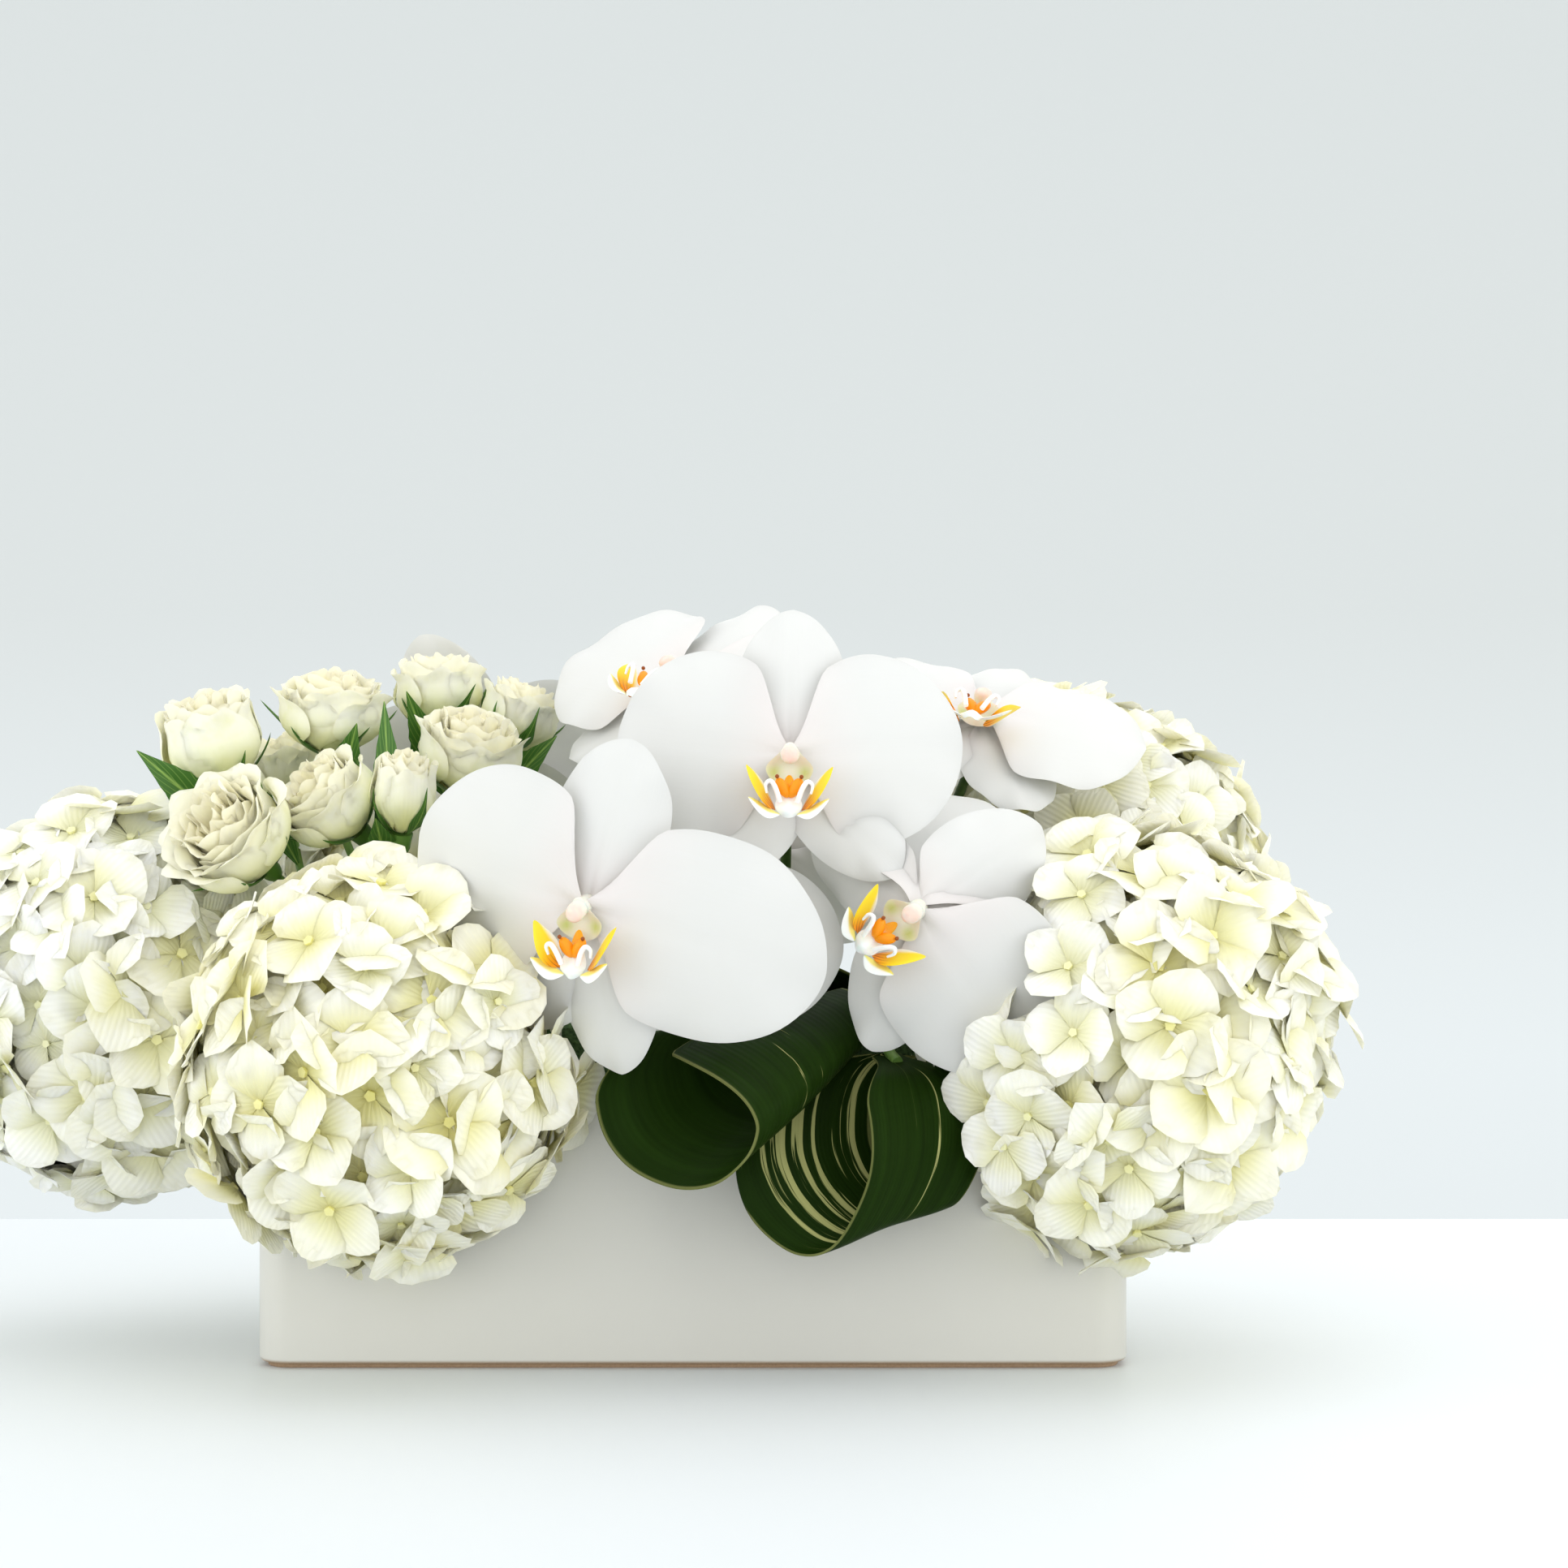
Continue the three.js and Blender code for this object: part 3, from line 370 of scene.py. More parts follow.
def petal(surface, rows, columns, thickness):
    """A petal with a rounded outline: a closed lens, thickest in its middle.

    surface gives the points of its middle layer for arrays of across, from -1 to 1, and along, from 0
    to 1. The petal comes back as its points, its faces, and its across and along.
    """
    u, v = np.meshgrid(np.linspace(-1, 1, columns + 1), np.linspace(-1, 1, rows + 1))
    across = u * np.sqrt(1 - v ** 2 / 2)
    along = (v * np.sqrt(1 - u ** 2 / 2) + 1) / 2
    middle = surface(across, along)
    normal = np.cross(np.gradient(middle, axis=1), np.gradient(middle, axis=0))
    normal /= np.linalg.norm(normal, axis=-1, keepdims=True) + 1e-9
    swell = thickness / 2 * (1 - np.maximum(abs(u), abs(v)) ** 6)[..., None]
    front = np.arange(u.size).reshape(u.shape)
    back = front.copy()
    inside = (slice(1, -1), slice(1, -1))
    back[inside] = u.size + np.arange(back[inside].size).reshape(back[inside].shape)
    faces = []
    for layer, order in ((front, (0, 1, 2, 3)), (back, (3, 2, 1, 0))):
        for row in range(rows):
            for column in range(columns):
                corners = (
                    layer[row, column], layer[row, column + 1],
                    layer[row + 1, column + 1], layer[row + 1, column],
                )
                faces.append([int(corners[place]) for place in order])
    points = [(middle + normal * swell).reshape(-1, 3), (middle - normal * swell)[inside].reshape(-1, 3)]
    marks = [np.concatenate([mark.ravel(), mark[inside].ravel()]) for mark in (across, along)]
    return np.concatenate(points), faces, marks[0], marks[1]


def ring_faces(rings, count):
    """The faces of a skin over rings of count points each, closed at both ends."""
    faces = []
    for low in range(0, (rings - 1) * count, count):
        for place in range(count):
            after = (place + 1) % count
            faces.append([low + place, low + after, low + count + after, low + count + place])
    faces.append(list(reversed(range(count))))
    faces.append(list(range((rings - 1) * count, rings * count)))
    return faces


def turned_solid(profile, segments):
    """Rings of a profile of (radius, height) about Z, closed by a point at each end."""
    angles = np.arange(segments) / segments * 2 * math.pi
    points = [(0, 0, profile[0][1])]
    for radius, height in profile:
        points += [(radius * math.cos(a), radius * math.sin(a), height) for a in angles]
    points.append((0, 0, profile[-1][1]))
    faces = []
    for place in range(segments):
        after = (place + 1) % segments
        faces.append([0, 1 + after, 1 + place])
        for ring in range(len(profile) - 1):
            low, high = 1 + ring * segments, 1 + (ring + 1) * segments
            faces.append([low + place, low + after, high + after, high + place])
        last = 1 + (len(profile) - 1) * segments
        faces.append([last + place, last + after, len(points) - 1])
    return points, faces


# ---------------------------------------------------------------- materials


FACTOR, A, B = 0, 6, 7  # the inputs of a Mix node for colours
COLOURS = {"data_type": "RGBA"}
EASED = {"interpolation_type": "SMOOTHSTEP"}  # a range that starts and ends gently


def first_output(node):
    """The socket that a node gives its result by."""
    return next(socket for socket in node.outputs if socket.enabled)


def add_node(tree, kind, inputs=None, **settings):
    """Adds a node, sets it up, and fills its inputs with values or with links from nodes or sockets.

    An input goes by its name, or by its number where the node has several of one name.
    """
    made = tree.nodes.new(kind)
    for name, value in settings.items():
        setattr(made, name, value)
    for key, value in (inputs or {}).items():
        if isinstance(value, bpy.types.Node):
            value = first_output(value)
        if isinstance(value, bpy.types.NodeSocket):
            tree.links.new(value, made.inputs[key])
        else:
            made.inputs[key].default_value = value
    return made


def new_material(name, sockets, *reads):
    """Starts a material with a Principled shader, whose own sockets are set here.

    It comes back with a function that adds a node to its tree, and with the outputs that its patterns
    read: place, which is Object coordinates in metres, and the marks of the piece.
    """
    material = bpy.data.materials.new(name)
    material.use_nodes = True
    tree = material.node_tree
    for socket, value in sockets.items():
        tree.nodes["Principled BSDF"].inputs[socket].default_value = value
    add = partial(add_node, tree)
    found = []
    for read in reads:
        if read == "place":
            found.append(add("ShaderNodeTexCoord").outputs["Object"])
        else:
            found.append(add("ShaderNodeAttribute", attribute_name=read).outputs["Fac"])
    return material, add, *found


def finished(material, colour, height=None, strength=0, distance=0, **others):
    """Links a colour to the shader, with a fine relief from height where there is one, and others."""
    tree = material.node_tree
    looks = {"Base Color": colour, **others}
    if height is not None:
        relief = {"Strength": strength, "Distance": distance, "Height": height}
        looks["Normal"] = add_node(tree, "ShaderNodeBump", relief)
    for socket, node in looks.items():
        tree.links.new(first_output(node), tree.nodes["Principled BSDF"].inputs[socket])
    return material


def glazed_stoneware():
    """Cast stoneware under a satin warm-white glaze, bare and tan on its foot, which gives the eye a
    soft sheen, faint clouds in the white, and a fine pebble where the glaze has pooled."""
    material, add, place = new_material(
        "glazed_stoneware", {"IOR": 1.5, "Coat Weight": 0.25, "Coat Roughness": 0.22}, "place"
    )
    height = add("ShaderNodeSeparateXYZ", {0: place}).outputs["Z"]
    clouds = add("ShaderNodeTexNoise", {"Vector": place, "Scale": 9, "Detail": 3})
    glaze = add("ShaderNodeMix", {FACTOR: clouds, A: linear("#D8D7D0"), B: linear("#D0CEC5")}, **COLOURS)
    # the glaze thins to a warm line over its last 1.5 mm above the bare foot
    glazed = add(
        "ShaderNodeMapRange",
        {"Value": height, "From Min": (FOOT["height"] + 0.1) * MM, "From Max": (FOOT["height"] + 1.6) * MM},
        **EASED,
    )
    grit = add("ShaderNodeTexNoise", {"Vector": place, "Scale": 1400, "Detail": 2})
    clay = add("ShaderNodeMix", {FACTOR: grit, A: linear("#BFA283"), B: linear("#9C7F60")}, **COLOURS)
    colour = add("ShaderNodeMix", {FACTOR: glazed, A: clay, B: glaze}, **COLOURS)
    rough = add("ShaderNodeMapRange", {"Value": glazed, "To Min": 0.85, "To Max": 0.36})
    pebble = add("ShaderNodeTexNoise", {"Vector": place, "Scale": 260, "Detail": 2})
    return finished(material, colour, pebble, 0.12, 0.0004, Roughness=rough)


def wet_foam():
    """Soaked phenolic foam: a dark matt green of open cells about half a millimetre wide."""
    material, add, place = new_material("wet_floral_foam", {"Roughness": 0.9}, "place")
    cells = add("ShaderNodeTexVoronoi", {"Vector": place, "Scale": 900})
    colour = add("ShaderNodeMix", {FACTOR: cells, A: linear("#2F4A27"), B: linear("#5C7C48")}, **COLOURS)
    return finished(material, colour, cells, 0.8, 0.0005)


def floret_tissue():
    """Hydrangea sepals: thin matt tissue, cream at the rim and yellow-green at the eye, each floret tinted
    a little differently from the next, with fine veins that fan out from its eye. The white of the rims is
    partly a painted highlight and the yellow of the eye partly painted shade, as warm as the shade among
    the florets."""
    material, add, place, along, across, tint = new_material(
        "hydrangea_sepal_tissue",
        {
            "Roughness": 0.62, "Subsurface Weight": 0.35, "Subsurface Scale": 0.003, "IOR": 1.33,
            "Subsurface Radius": (1, 0.95, 0.65),
        },
        "place", "along", "across", "tint",
    )
    # painted light: the white rim stands partly for a lit edge and the yellow eye partly for the warm shade
    # in each floret's heart, besides the floret's own greenish eye
    rim = add("ShaderNodeMix", {FACTOR: tint, A: linear("#FEFEFA"), B: linear("#FDF9DC")}, **COLOURS)
    eye = add("ShaderNodeMix", {FACTOR: tint, A: linear("#EFEFC4"), B: linear("#E8DF84")}, **COLOURS)
    outward = add("ShaderNodeMapRange", {"Value": along, "From Min": 0.05, "From Max": 0.85}, **EASED)
    petals = add("ShaderNodeMix", {FACTOR: outward, A: eye, B: rim}, **COLOURS)
    mottle = add("ShaderNodeTexNoise", {"Vector": place, "Scale": 160, "Detail": 3})
    patchy = add("ShaderNodeMapRange", {"Value": mottle, "From Min": 0.45, "From Max": 0.8, "To Max": 0.3})
    colour = add("ShaderNodeMix", {FACTOR: patchy, A: petals, B: linear("#F1EDBE")}, **COLOURS)
    fan = add("ShaderNodeMath", {0: across, 1: 34.0}, operation="MULTIPLY")
    vein = add("ShaderNodeMath", {0: fan}, operation="SINE")
    return finished(material, colour, vein, 0.25, 0.0003)


def inner_buds_and_painted_shade():
    """The inside of a hydrangea head: crowded stalks and unopened buds, seen as mottled green, partly
    painted shade in the cream and yellow of the shade deep in the head.
    """
    material, add, place = new_material("hydrangea_inner_stalks", {"Roughness": 0.8}, "place")
    buds = add("ShaderNodeTexVoronoi", {"Vector": place, "Scale": 190})
    colour = add("ShaderNodeMix", {FACTOR: buds, A: linear("#F7F3C4"), B: linear("#D8D37C")}, **COLOURS)
    return finished(material, colour, buds, 0.9, 0.003)


def rose_tissue():
    """Spray rose petals: velvety ivory tissue, greenish at the base and on the guard petals, creamy in
    the heart, with a faint grain that runs from base to rim."""
    material, add, place, along, across, layer = new_material(
        "rose_petal_tissue",
        {
            "Roughness": 0.6, "Subsurface Weight": 0.3, "Subsurface Scale": 0.002, "Sheen Weight": 0.1,
            "IOR": 1.36, "Subsurface Radius": (1, 0.92, 0.6),
        },
        "place", "along", "across", "layer",
    )
    rim = add("ShaderNodeMix", {FACTOR: layer, A: linear("#FBF5D6"), B: linear("#FAF8E4")}, **COLOURS)
    base = add("ShaderNodeMix", {FACTOR: layer, A: linear("#F6EBAE"), B: linear("#E9ECA8")}, **COLOURS)
    upward = add("ShaderNodeMapRange", {"Value": along, "From Min": 0.15, "From Max": 0.85}, **EASED)
    petals = add("ShaderNodeMix", {FACTOR: upward, A: base, B: rim}, **COLOURS)
    mottle = add("ShaderNodeTexNoise", {"Vector": place, "Scale": 120, "Detail": 3})
    guard = add("ShaderNodeMath", {0: layer, 1: mottle}, operation="MULTIPLY")
    streaked = add(
        "ShaderNodeMapRange", {"Value": guard, "From Min": 0.48, "From Max": 0.75, "To Max": 0.5}
    )
    colour = add("ShaderNodeMix", {FACTOR: streaked, A: petals, B: linear("#E6E8A8")}, **COLOURS)
    fan = add("ShaderNodeMath", {0: across, 1: 46.0}, operation="MULTIPLY")
    grain = add("ShaderNodeMath", {0: fan}, operation="SINE")
    return finished(material, colour, grain, 0.05, 0.0003)


def orchid_tissue():
    """Moth orchid tepals: thick waxy white tissue, faintly pink and grey near the column, with a net of
    fine veins and a satin glow."""
    material, add, place, along, across = new_material(
        "orchid_tepal_tissue",
        {
            "Roughness": 0.5, "Subsurface Weight": 0.2, "Subsurface Scale": 0.004, "IOR": 1.38,
            "Subsurface Radius": (1, 0.97, 0.95),
        },
        "place", "along", "across",
    )
    cloud = add("ShaderNodeTexNoise", {"Vector": place, "Scale": 30, "Detail": 3})
    blush = add("ShaderNodeMix", {FACTOR: cloud, A: linear("#DCDBD5"), B: linear("#E4D8D8")}, **COLOURS)
    outward = add("ShaderNodeMapRange", {"Value": along, "From Min": 0.0, "From Max": 0.5}, **EASED)
    colour = add("ShaderNodeMix", {FACTOR: outward, A: blush, B: linear("#DBDBD8")}, **COLOURS)
    # veins about 1 mm apart fan out along the tepal, broken and wandering
    fan = add("ShaderNodeMath", {0: across, 1: 26.0}, operation="MULTIPLY")
    way = add("ShaderNodeMath", {0: along, 1: 3.2}, operation="MULTIPLY")
    sheet = add("ShaderNodeCombineXYZ", {0: fan, 1: way})
    vein = add("ShaderNodeTexNoise", {"Vector": sheet, "Scale": 1.0, "Detail": 3, "Distortion": 0.4})
    faint = add("ShaderNodeMapRange", {"Value": vein, "From Min": 0.5, "From Max": 0.75, "To Max": 0.3})
    veined = add("ShaderNodeMix", {FACTOR: faint, A: colour, B: linear("#DCDCDB")}, **COLOURS)
    return finished(material, veined, vein, 0.06, 0.0004)


def lip_tissue():
    """The lip's side lobes and callus: glossy tissue, white behind and lemon to orange along its front
    edge, barred with thin red-brown stripes at its foot."""
    material, add, place, along, across = new_material(
        "orchid_lip_tissue",
        {"Roughness": 0.4, "Subsurface Weight": 0.15, "Subsurface Scale": 0.002, "IOR": 1.4}, "place",
        "along", "across",
    )
    depth = add("ShaderNodeMapRange", {"Value": along, "From Min": 0.12, "From Max": 0.6}, **EASED)
    gold = add("ShaderNodeMix", {FACTOR: depth, A: linear("#FB9A06"), B: linear("#FADB2C")}, **COLOURS)
    front = add("ShaderNodeMapRange", {"Value": across, "From Min": -0.9, "From Max": -0.4}, **EASED)
    lobe = add("ShaderNodeMix", {FACTOR: front, A: linear("#FAF8EE"), B: gold}, **COLOURS)
    cloud = add("ShaderNodeTexNoise", {"Vector": place, "Scale": 300, "Detail": 2})
    bars = add("ShaderNodeMath", {0: across, 1: 17.0, 2: cloud}, operation="MULTIPLY_ADD")
    stripe = add("ShaderNodeMath", {0: bars}, operation="SINE")
    barred = add("ShaderNodeMapRange", {"Value": stripe, "From Min": 0.45, "From Max": 0.95}, **EASED)
    inner = add(
        "ShaderNodeMapRange",
        {"Value": along, "From Min": 0.05, "From Max": 0.45, "To Min": 0.85, "To Max": 0.0},
    )
    mask = add("ShaderNodeMath", {0: barred, 1: inner}, operation="MULTIPLY")
    colour = add("ShaderNodeMix", {FACTOR: mask, A: lobe, B: linear("#6E2A14")}, **COLOURS)
    return finished(material, colour, cloud, 0.2, 0.0003)


def lip_blade_tissue():
    """The lip's middle lobe, wings and horns: white tissue, orange at the foot of the lobe and lemon
    along the upper edge of the wings."""
    material, add, place, along, across = new_material(
        "orchid_middle_lobe_tissue",
        {"Roughness": 0.42, "Subsurface Weight": 0.25, "Subsurface Scale": 0.003, "IOR": 1.4}, "place",
        "along", "across",
    )
    cloud = add("ShaderNodeTexNoise", {"Vector": place, "Scale": 200, "Detail": 2})
    far = add("ShaderNodeMapRange", {"Value": along, "From Min": 0.25, "From Max": 0.5}, **EASED)
    base = add("ShaderNodeMix", {FACTOR: far, A: linear("#F8A818"), B: linear("#F8F8F4")}, **COLOURS)
    edge = add(
        "ShaderNodeMapRange", {"Value": across, "From Min": -0.2, "From Max": 0.2, "To Max": 0.9}, **EASED
    )
    colour = add("ShaderNodeMix", {FACTOR: edge, A: base, B: linear("#F7E569")}, **COLOURS)
    return finished(material, colour, cloud, 0.15, 0.0003)


def column_tissue():
    """The column and its hood: ivory waxy tissue that flushes pink at the column's cap, with painted shade
    in the two hollows beside it, tinted pale green."""
    material, add, place, along, layer = new_material(
        "orchid_column_tissue",
        {"Roughness": 0.42, "Subsurface Weight": 0.25, "Subsurface Scale": 0.003, "IOR": 1.4}, "place",
        "along", "layer",
    )
    cloud = add("ShaderNodeTexNoise", {"Vector": place, "Scale": 260, "Detail": 2})
    flush = add(
        "ShaderNodeMapRange", {"Value": along, "From Min": 0.7, "From Max": 1.0, "To Max": 0.75}, **EASED
    )
    mask = add("ShaderNodeMath", {0: flush, 1: cloud}, operation="MULTIPLY")
    flushed = add("ShaderNodeMix", {FACTOR: mask, A: linear("#EDEADC"), B: linear("#EDA596")}, **COLOURS)
    # painted shade: the hollows beside the column are tinted pale green
    colour = add("ShaderNodeMix", {FACTOR: layer, A: flushed, B: linear("#C3CF7C")}, **COLOURS)
    return finished(material, colour, cloud, 0.1, 0.0003)


def stem_skin(name, pale, deep):
    """Green stem skin: satin, streaked lengthwise, from pale to deep."""
    material, add, place = new_material(name, {"Roughness": 0.5, "IOR": 1.42}, "place")
    long_way = add("ShaderNodeMapping", {"Vector": place, "Scale": (1, 1, 0.12)})
    streaks = add("ShaderNodeTexNoise", {"Vector": long_way, "Scale": 700, "Detail": 3})
    colour = add("ShaderNodeMix", {FACTOR: streaks, A: linear(deep), B: linear(pale)}, **COLOURS)
    return finished(material, colour, streaks, 0.3, 0.0003)


def rose_leaf_skin():
    """Rose leaves and sepals: dark satin green above a paler midrib and side veins."""
    material, add, along, across = new_material(
        "rose_leaf_skin", {"Roughness": 0.45, "IOR": 1.45}, "along", "across"
    )
    side = add("ShaderNodeMath", {0: across}, operation="ABSOLUTE")
    slant = add("ShaderNodeMath", {0: side, 1: -0.5, 2: along}, operation="MULTIPLY_ADD")
    many = add("ShaderNodeMath", {0: slant, 1: 42.0}, operation="MULTIPLY")
    wave = add("ShaderNodeMath", {0: many}, operation="SINE")
    veins = add("ShaderNodeMapRange", {"Value": wave, "From Min": 0.7, "From Max": 1.0})
    rib = add(
        "ShaderNodeMapRange",
        {"Value": side, "From Min": 0.0, "From Max": 0.14, "To Min": 1.0, "To Max": 0.0},
    )
    lines = add("ShaderNodeMath", {0: veins, 1: 0.4, 2: rib}, operation="MULTIPLY_ADD")
    mask = add("ShaderNodeMath", {0: lines, 1: 1.0}, operation="MINIMUM")
    colour = add("ShaderNodeMix", {FACTOR: mask, A: linear("#3B6A20"), B: linear("#8BAE52")}, **COLOURS)
    return finished(material, colour, mask, 0.3, 0.0004)


def striped_leaf_skin():
    """The looped strap leaves: deep waxy green with cream and yellow-green stripes that run their whole
    length, closer together in the middle of the blade. The green is partly painted shade: darkened almost
    to black, as the shade inside a loop."""
    material, add, along, across, inside = new_material(
        "striped_leaf_skin", {"Roughness": 0.46, "IOR": 1.4, "Specular IOR Level": 0.05}, "along", "across",
        "layer",
    )
    broad = add("ShaderNodeMath", {0: across, 1: 14.0}, operation="MULTIPLY")
    slow = add("ShaderNodeMath", {0: along, 1: 0.9}, operation="MULTIPLY")
    sheet = add("ShaderNodeCombineXYZ", {0: broad, 1: slow})
    bands = add("ShaderNodeTexNoise", {"Vector": sheet, "Scale": 1.0, "Detail": 4, "Roughness": 0.65})
    middle = add("ShaderNodeMath", {0: across, 1: 0.5}, operation="SUBTRACT")
    away = add("ShaderNodeMath", {0: middle}, operation="ABSOLUTE")
    edge = add(
        "ShaderNodeMapRange",
        {"Value": away, "From Min": 0.1, "From Max": 0.5, "To Min": 0.63, "To Max": 0.68},
    )
    fewer = add("ShaderNodeMath", {0: inside, 1: -0.12, 2: edge}, operation="MULTIPLY_ADD")
    over = add("ShaderNodeMath", {0: bands, 1: fewer}, operation="SUBTRACT")
    stripe = add("ShaderNodeMapRange", {"Value": over, "From Min": 0.0, "From Max": 0.03}, **EASED)
    # a thin pale line borders the blade
    border = add("ShaderNodeMapRange", {"Value": away, "From Min": 0.486, "From Max": 0.496, "To Max": 0.4})
    lines = add("ShaderNodeMath", {0: stripe, 1: border}, operation="MAXIMUM")
    fine_way = add("ShaderNodeMath", {0: across, 1: 210.0}, operation="MULTIPLY")
    fine = add("ShaderNodeMath", {0: fine_way}, operation="SINE")
    # the near-black green is partly the leaf's own deep green and partly painted shade
    green = add("ShaderNodeMix", {FACTOR: bands, A: linear("#081102"), B: linear("#26400F")}, **COLOURS)
    pale = add("ShaderNodeMix", {FACTOR: bands, A: linear("#5C701C"), B: linear("#CFCB8C")}, **COLOURS)
    colour = add("ShaderNodeMix", {FACTOR: lines, A: green, B: pale}, **COLOURS)
    return finished(material, colour, fine, 0.08, 0.0003)


GLAZE = glazed_stoneware()
FOAM = wet_foam()
FLORET_TISSUE = floret_tissue()
INNER_BUDS_AND_PAINTED_SHADE = inner_buds_and_painted_shade()
ROSE_TISSUE = rose_tissue()
ORCHID_TISSUE = orchid_tissue()
LIP_TISSUE = lip_tissue()
LIP_BLADE_TISSUE = lip_blade_tissue()
COLUMN_TISSUE = column_tissue()
# the orchid stalks' dark green is partly their own and partly painted shade: darkened to the deep shadow
# they stand in
ORCHID_STALK_PAINTED_SHADE = stem_skin("orchid_flower_stalk_skin", "#46622A", "#2A4417")
HYDRANGEA_STEM = stem_skin("hydrangea_stem_skin", "#A7BC6A", "#71923F")
ROSE_STEM = stem_skin("rose_stem_skin", "#7FA04B", "#47702B")
ROSE_LEAF = rose_leaf_skin()
STRIPED_LEAF = striped_leaf_skin()

# ---------------------------------------------------------------- Geometry Nodes trees


def new_tree(name, sockets):
    """A Geometry Nodes tree from Geometry and the named sockets to Geometry."""
    tree = bpy.data.node_groups.new(name, "GeometryNodeTree")
    tree.interface.new_socket("Geometry", in_out="INPUT", socket_type="NodeSocketGeometry")
    for socket, kind in sockets.items():
        tree.interface.new_socket(socket, in_out="INPUT", socket_type=kind)
    tree.interface.new_socket("Geometry", in_out="OUTPUT", socket_type="NodeSocketGeometry")
    start = add_node(tree, "NodeGroupInput").outputs
    return tree, partial(add_node, tree), start


def end_tree(tree, geometry, material):
    """Ends a tree in real faces of one material."""
    real = add_node(tree, "GeometryNodeRealizeInstances", {0: geometry})
    painted = add_node(tree, "GeometryNodeSetMaterial", {"Geometry": real, "Material": material})
    add_node(tree, "NodeGroupOutput", {0: painted})


def grown(made, tree, inputs):
    """Runs a tree on an object's mesh and leaves the result as its plain mesh."""
    modifier = made.modifiers.new(tree.name, "NODES")
    modifier.node_group = tree
    for item in tree.interface.items_tree:
        if item.in_out == "INPUT" and item.name in inputs:
            modifier[item.identifier] = inputs[item.name]
    graph = bpy.context.evaluated_depsgraph_get()
    graph.update()
    plain = bpy.data.meshes.new_from_object(
        made.evaluated_get(graph), preserve_all_data_layers=True, depsgraph=graph
    )
    made.modifiers.remove(modifier)
    made.data = plain
    plain.name = made.name
    return made


def stem_tree():
    """Stalks along the paths of an edge mesh, thicker at their foot by Flare, with knobs."""
    sizes = {"Radius": "NodeSocketFloat", "Flare": "NodeSocketFloat", "Sides": "NodeSocketInt"}
    tree, add, start = new_tree("stalk_along_path", {**sizes, "Material": "NodeSocketMaterial"})
    path = add("GeometryNodeMeshToCurve", {0: start["Geometry"]})
    even = add("GeometryNodeResampleCurve", {"Curve": path, "Count": 22})
    way = add("GeometryNodeSplineParameter")
    thin = add("ShaderNodeMapRange", {"Value": way, "To Min": start["Flare"], "To Max": 1.0})
    place = add("GeometryNodeInputPosition")
    knobs = add("ShaderNodeTexNoise", {"Vector": place, "Scale": 90.0, "Detail": 1.0})
    uneven = add("ShaderNodeMapRange", {"Value": knobs, "To Min": 0.93, "To Max": 1.05})
    both = add("ShaderNodeMath", {0: thin, 1: uneven}, operation="MULTIPLY")
    sized = add("GeometryNodeSetCurveRadius", {"Curve": even, "Radius": both})
    ring = add(
        "GeometryNodeCurvePrimitiveCircle", {"Resolution": start["Sides"], "Radius": start["Radius"]}
    )
    stalk = add(
        "GeometryNodeCurveToMesh", {"Curve": sized, "Profile Curve": ring, "Scale": both, "Fill Caps": True}
    )
    rounded = add("GeometryNodeSetShadeSmooth", {"Geometry": stalk})
    end_tree(tree, rounded, start["Material"])
    return tree


def floret_tree():
    """Florets on points: each faces along its point's facing, is turned and sized at random from one
    seed, and takes one of the floret kinds.

    A random value lies between its inputs 2 and 3, or 4 and 5 where it is a whole number.
    """
    tree, add, start = new_tree(
        "florets_on_head",
        {
            "Kinds": "NodeSocketCollection", "Kind Count": "NodeSocketInt", "Smallest": "NodeSocketFloat",
            "Largest": "NodeSocketFloat", "Warmth": "NodeSocketFloat", "Seed": "NodeSocketInt",
            "Material": "NodeSocketMaterial",
        },
    )
    facing = add("GeometryNodeInputNamedAttribute", {"Name": "facing"}, data_type="FLOAT_VECTOR")
    outward = add("FunctionNodeAlignRotationToVector", {"Vector": facing}, axis="Z")
    spin = add(
        "FunctionNodeRandomValue", {"Min": (0, 0, 0), "Max": (0, 0, 2 * math.pi), "Seed": start["Seed"]},
        data_type="FLOAT_VECTOR",
    )
    turn = add("FunctionNodeEulerToRotation", {0: spin})
    rotation = add(
        "FunctionNodeRotateRotation", {"Rotation": outward, "Rotate By": turn}, rotation_space="LOCAL"
    )
    size = add(
        "FunctionNodeRandomValue", {2: start["Smallest"], 3: start["Largest"], "Seed": start["Seed"]},
        data_type="FLOAT",
    )
    last = add("ShaderNodeMath", {0: start["Kind Count"], 1: 1.0}, operation="SUBTRACT")
    kind = add("FunctionNodeRandomValue", {4: 0, 5: last, "Seed": start["Seed"]}, data_type="INT")
    shade = add("FunctionNodeRandomValue", {2: -0.28, 3: 0.28, "Seed": start["Seed"]}, data_type="FLOAT")
    tint = add("ShaderNodeMath", {0: start["Warmth"], 1: shade}, operation="ADD")
    tint.use_clamp = True
    tinted = add(
        "GeometryNodeStoreNamedAttribute", {"Geometry": start["Geometry"], "Name": "tint", "Value": tint},
        data_type="FLOAT", domain="POINT",
    )
    kinds = add(
        "GeometryNodeCollectionInfo",
        {"Collection": start["Kinds"], "Separate Children": True, "Reset Children": True},
    )
    florets = add(
        "GeometryNodeInstanceOnPoints",
        {
            "Points": tinted, "Instance": kinds, "Pick Instance": True, "Instance Index": kind,
            "Rotation": rotation, "Scale": size,
        },
    )
    end_tree(tree, florets, start["Material"])
    return tree


STALK_TREE = stem_tree()
FLORET_TREE = floret_tree()


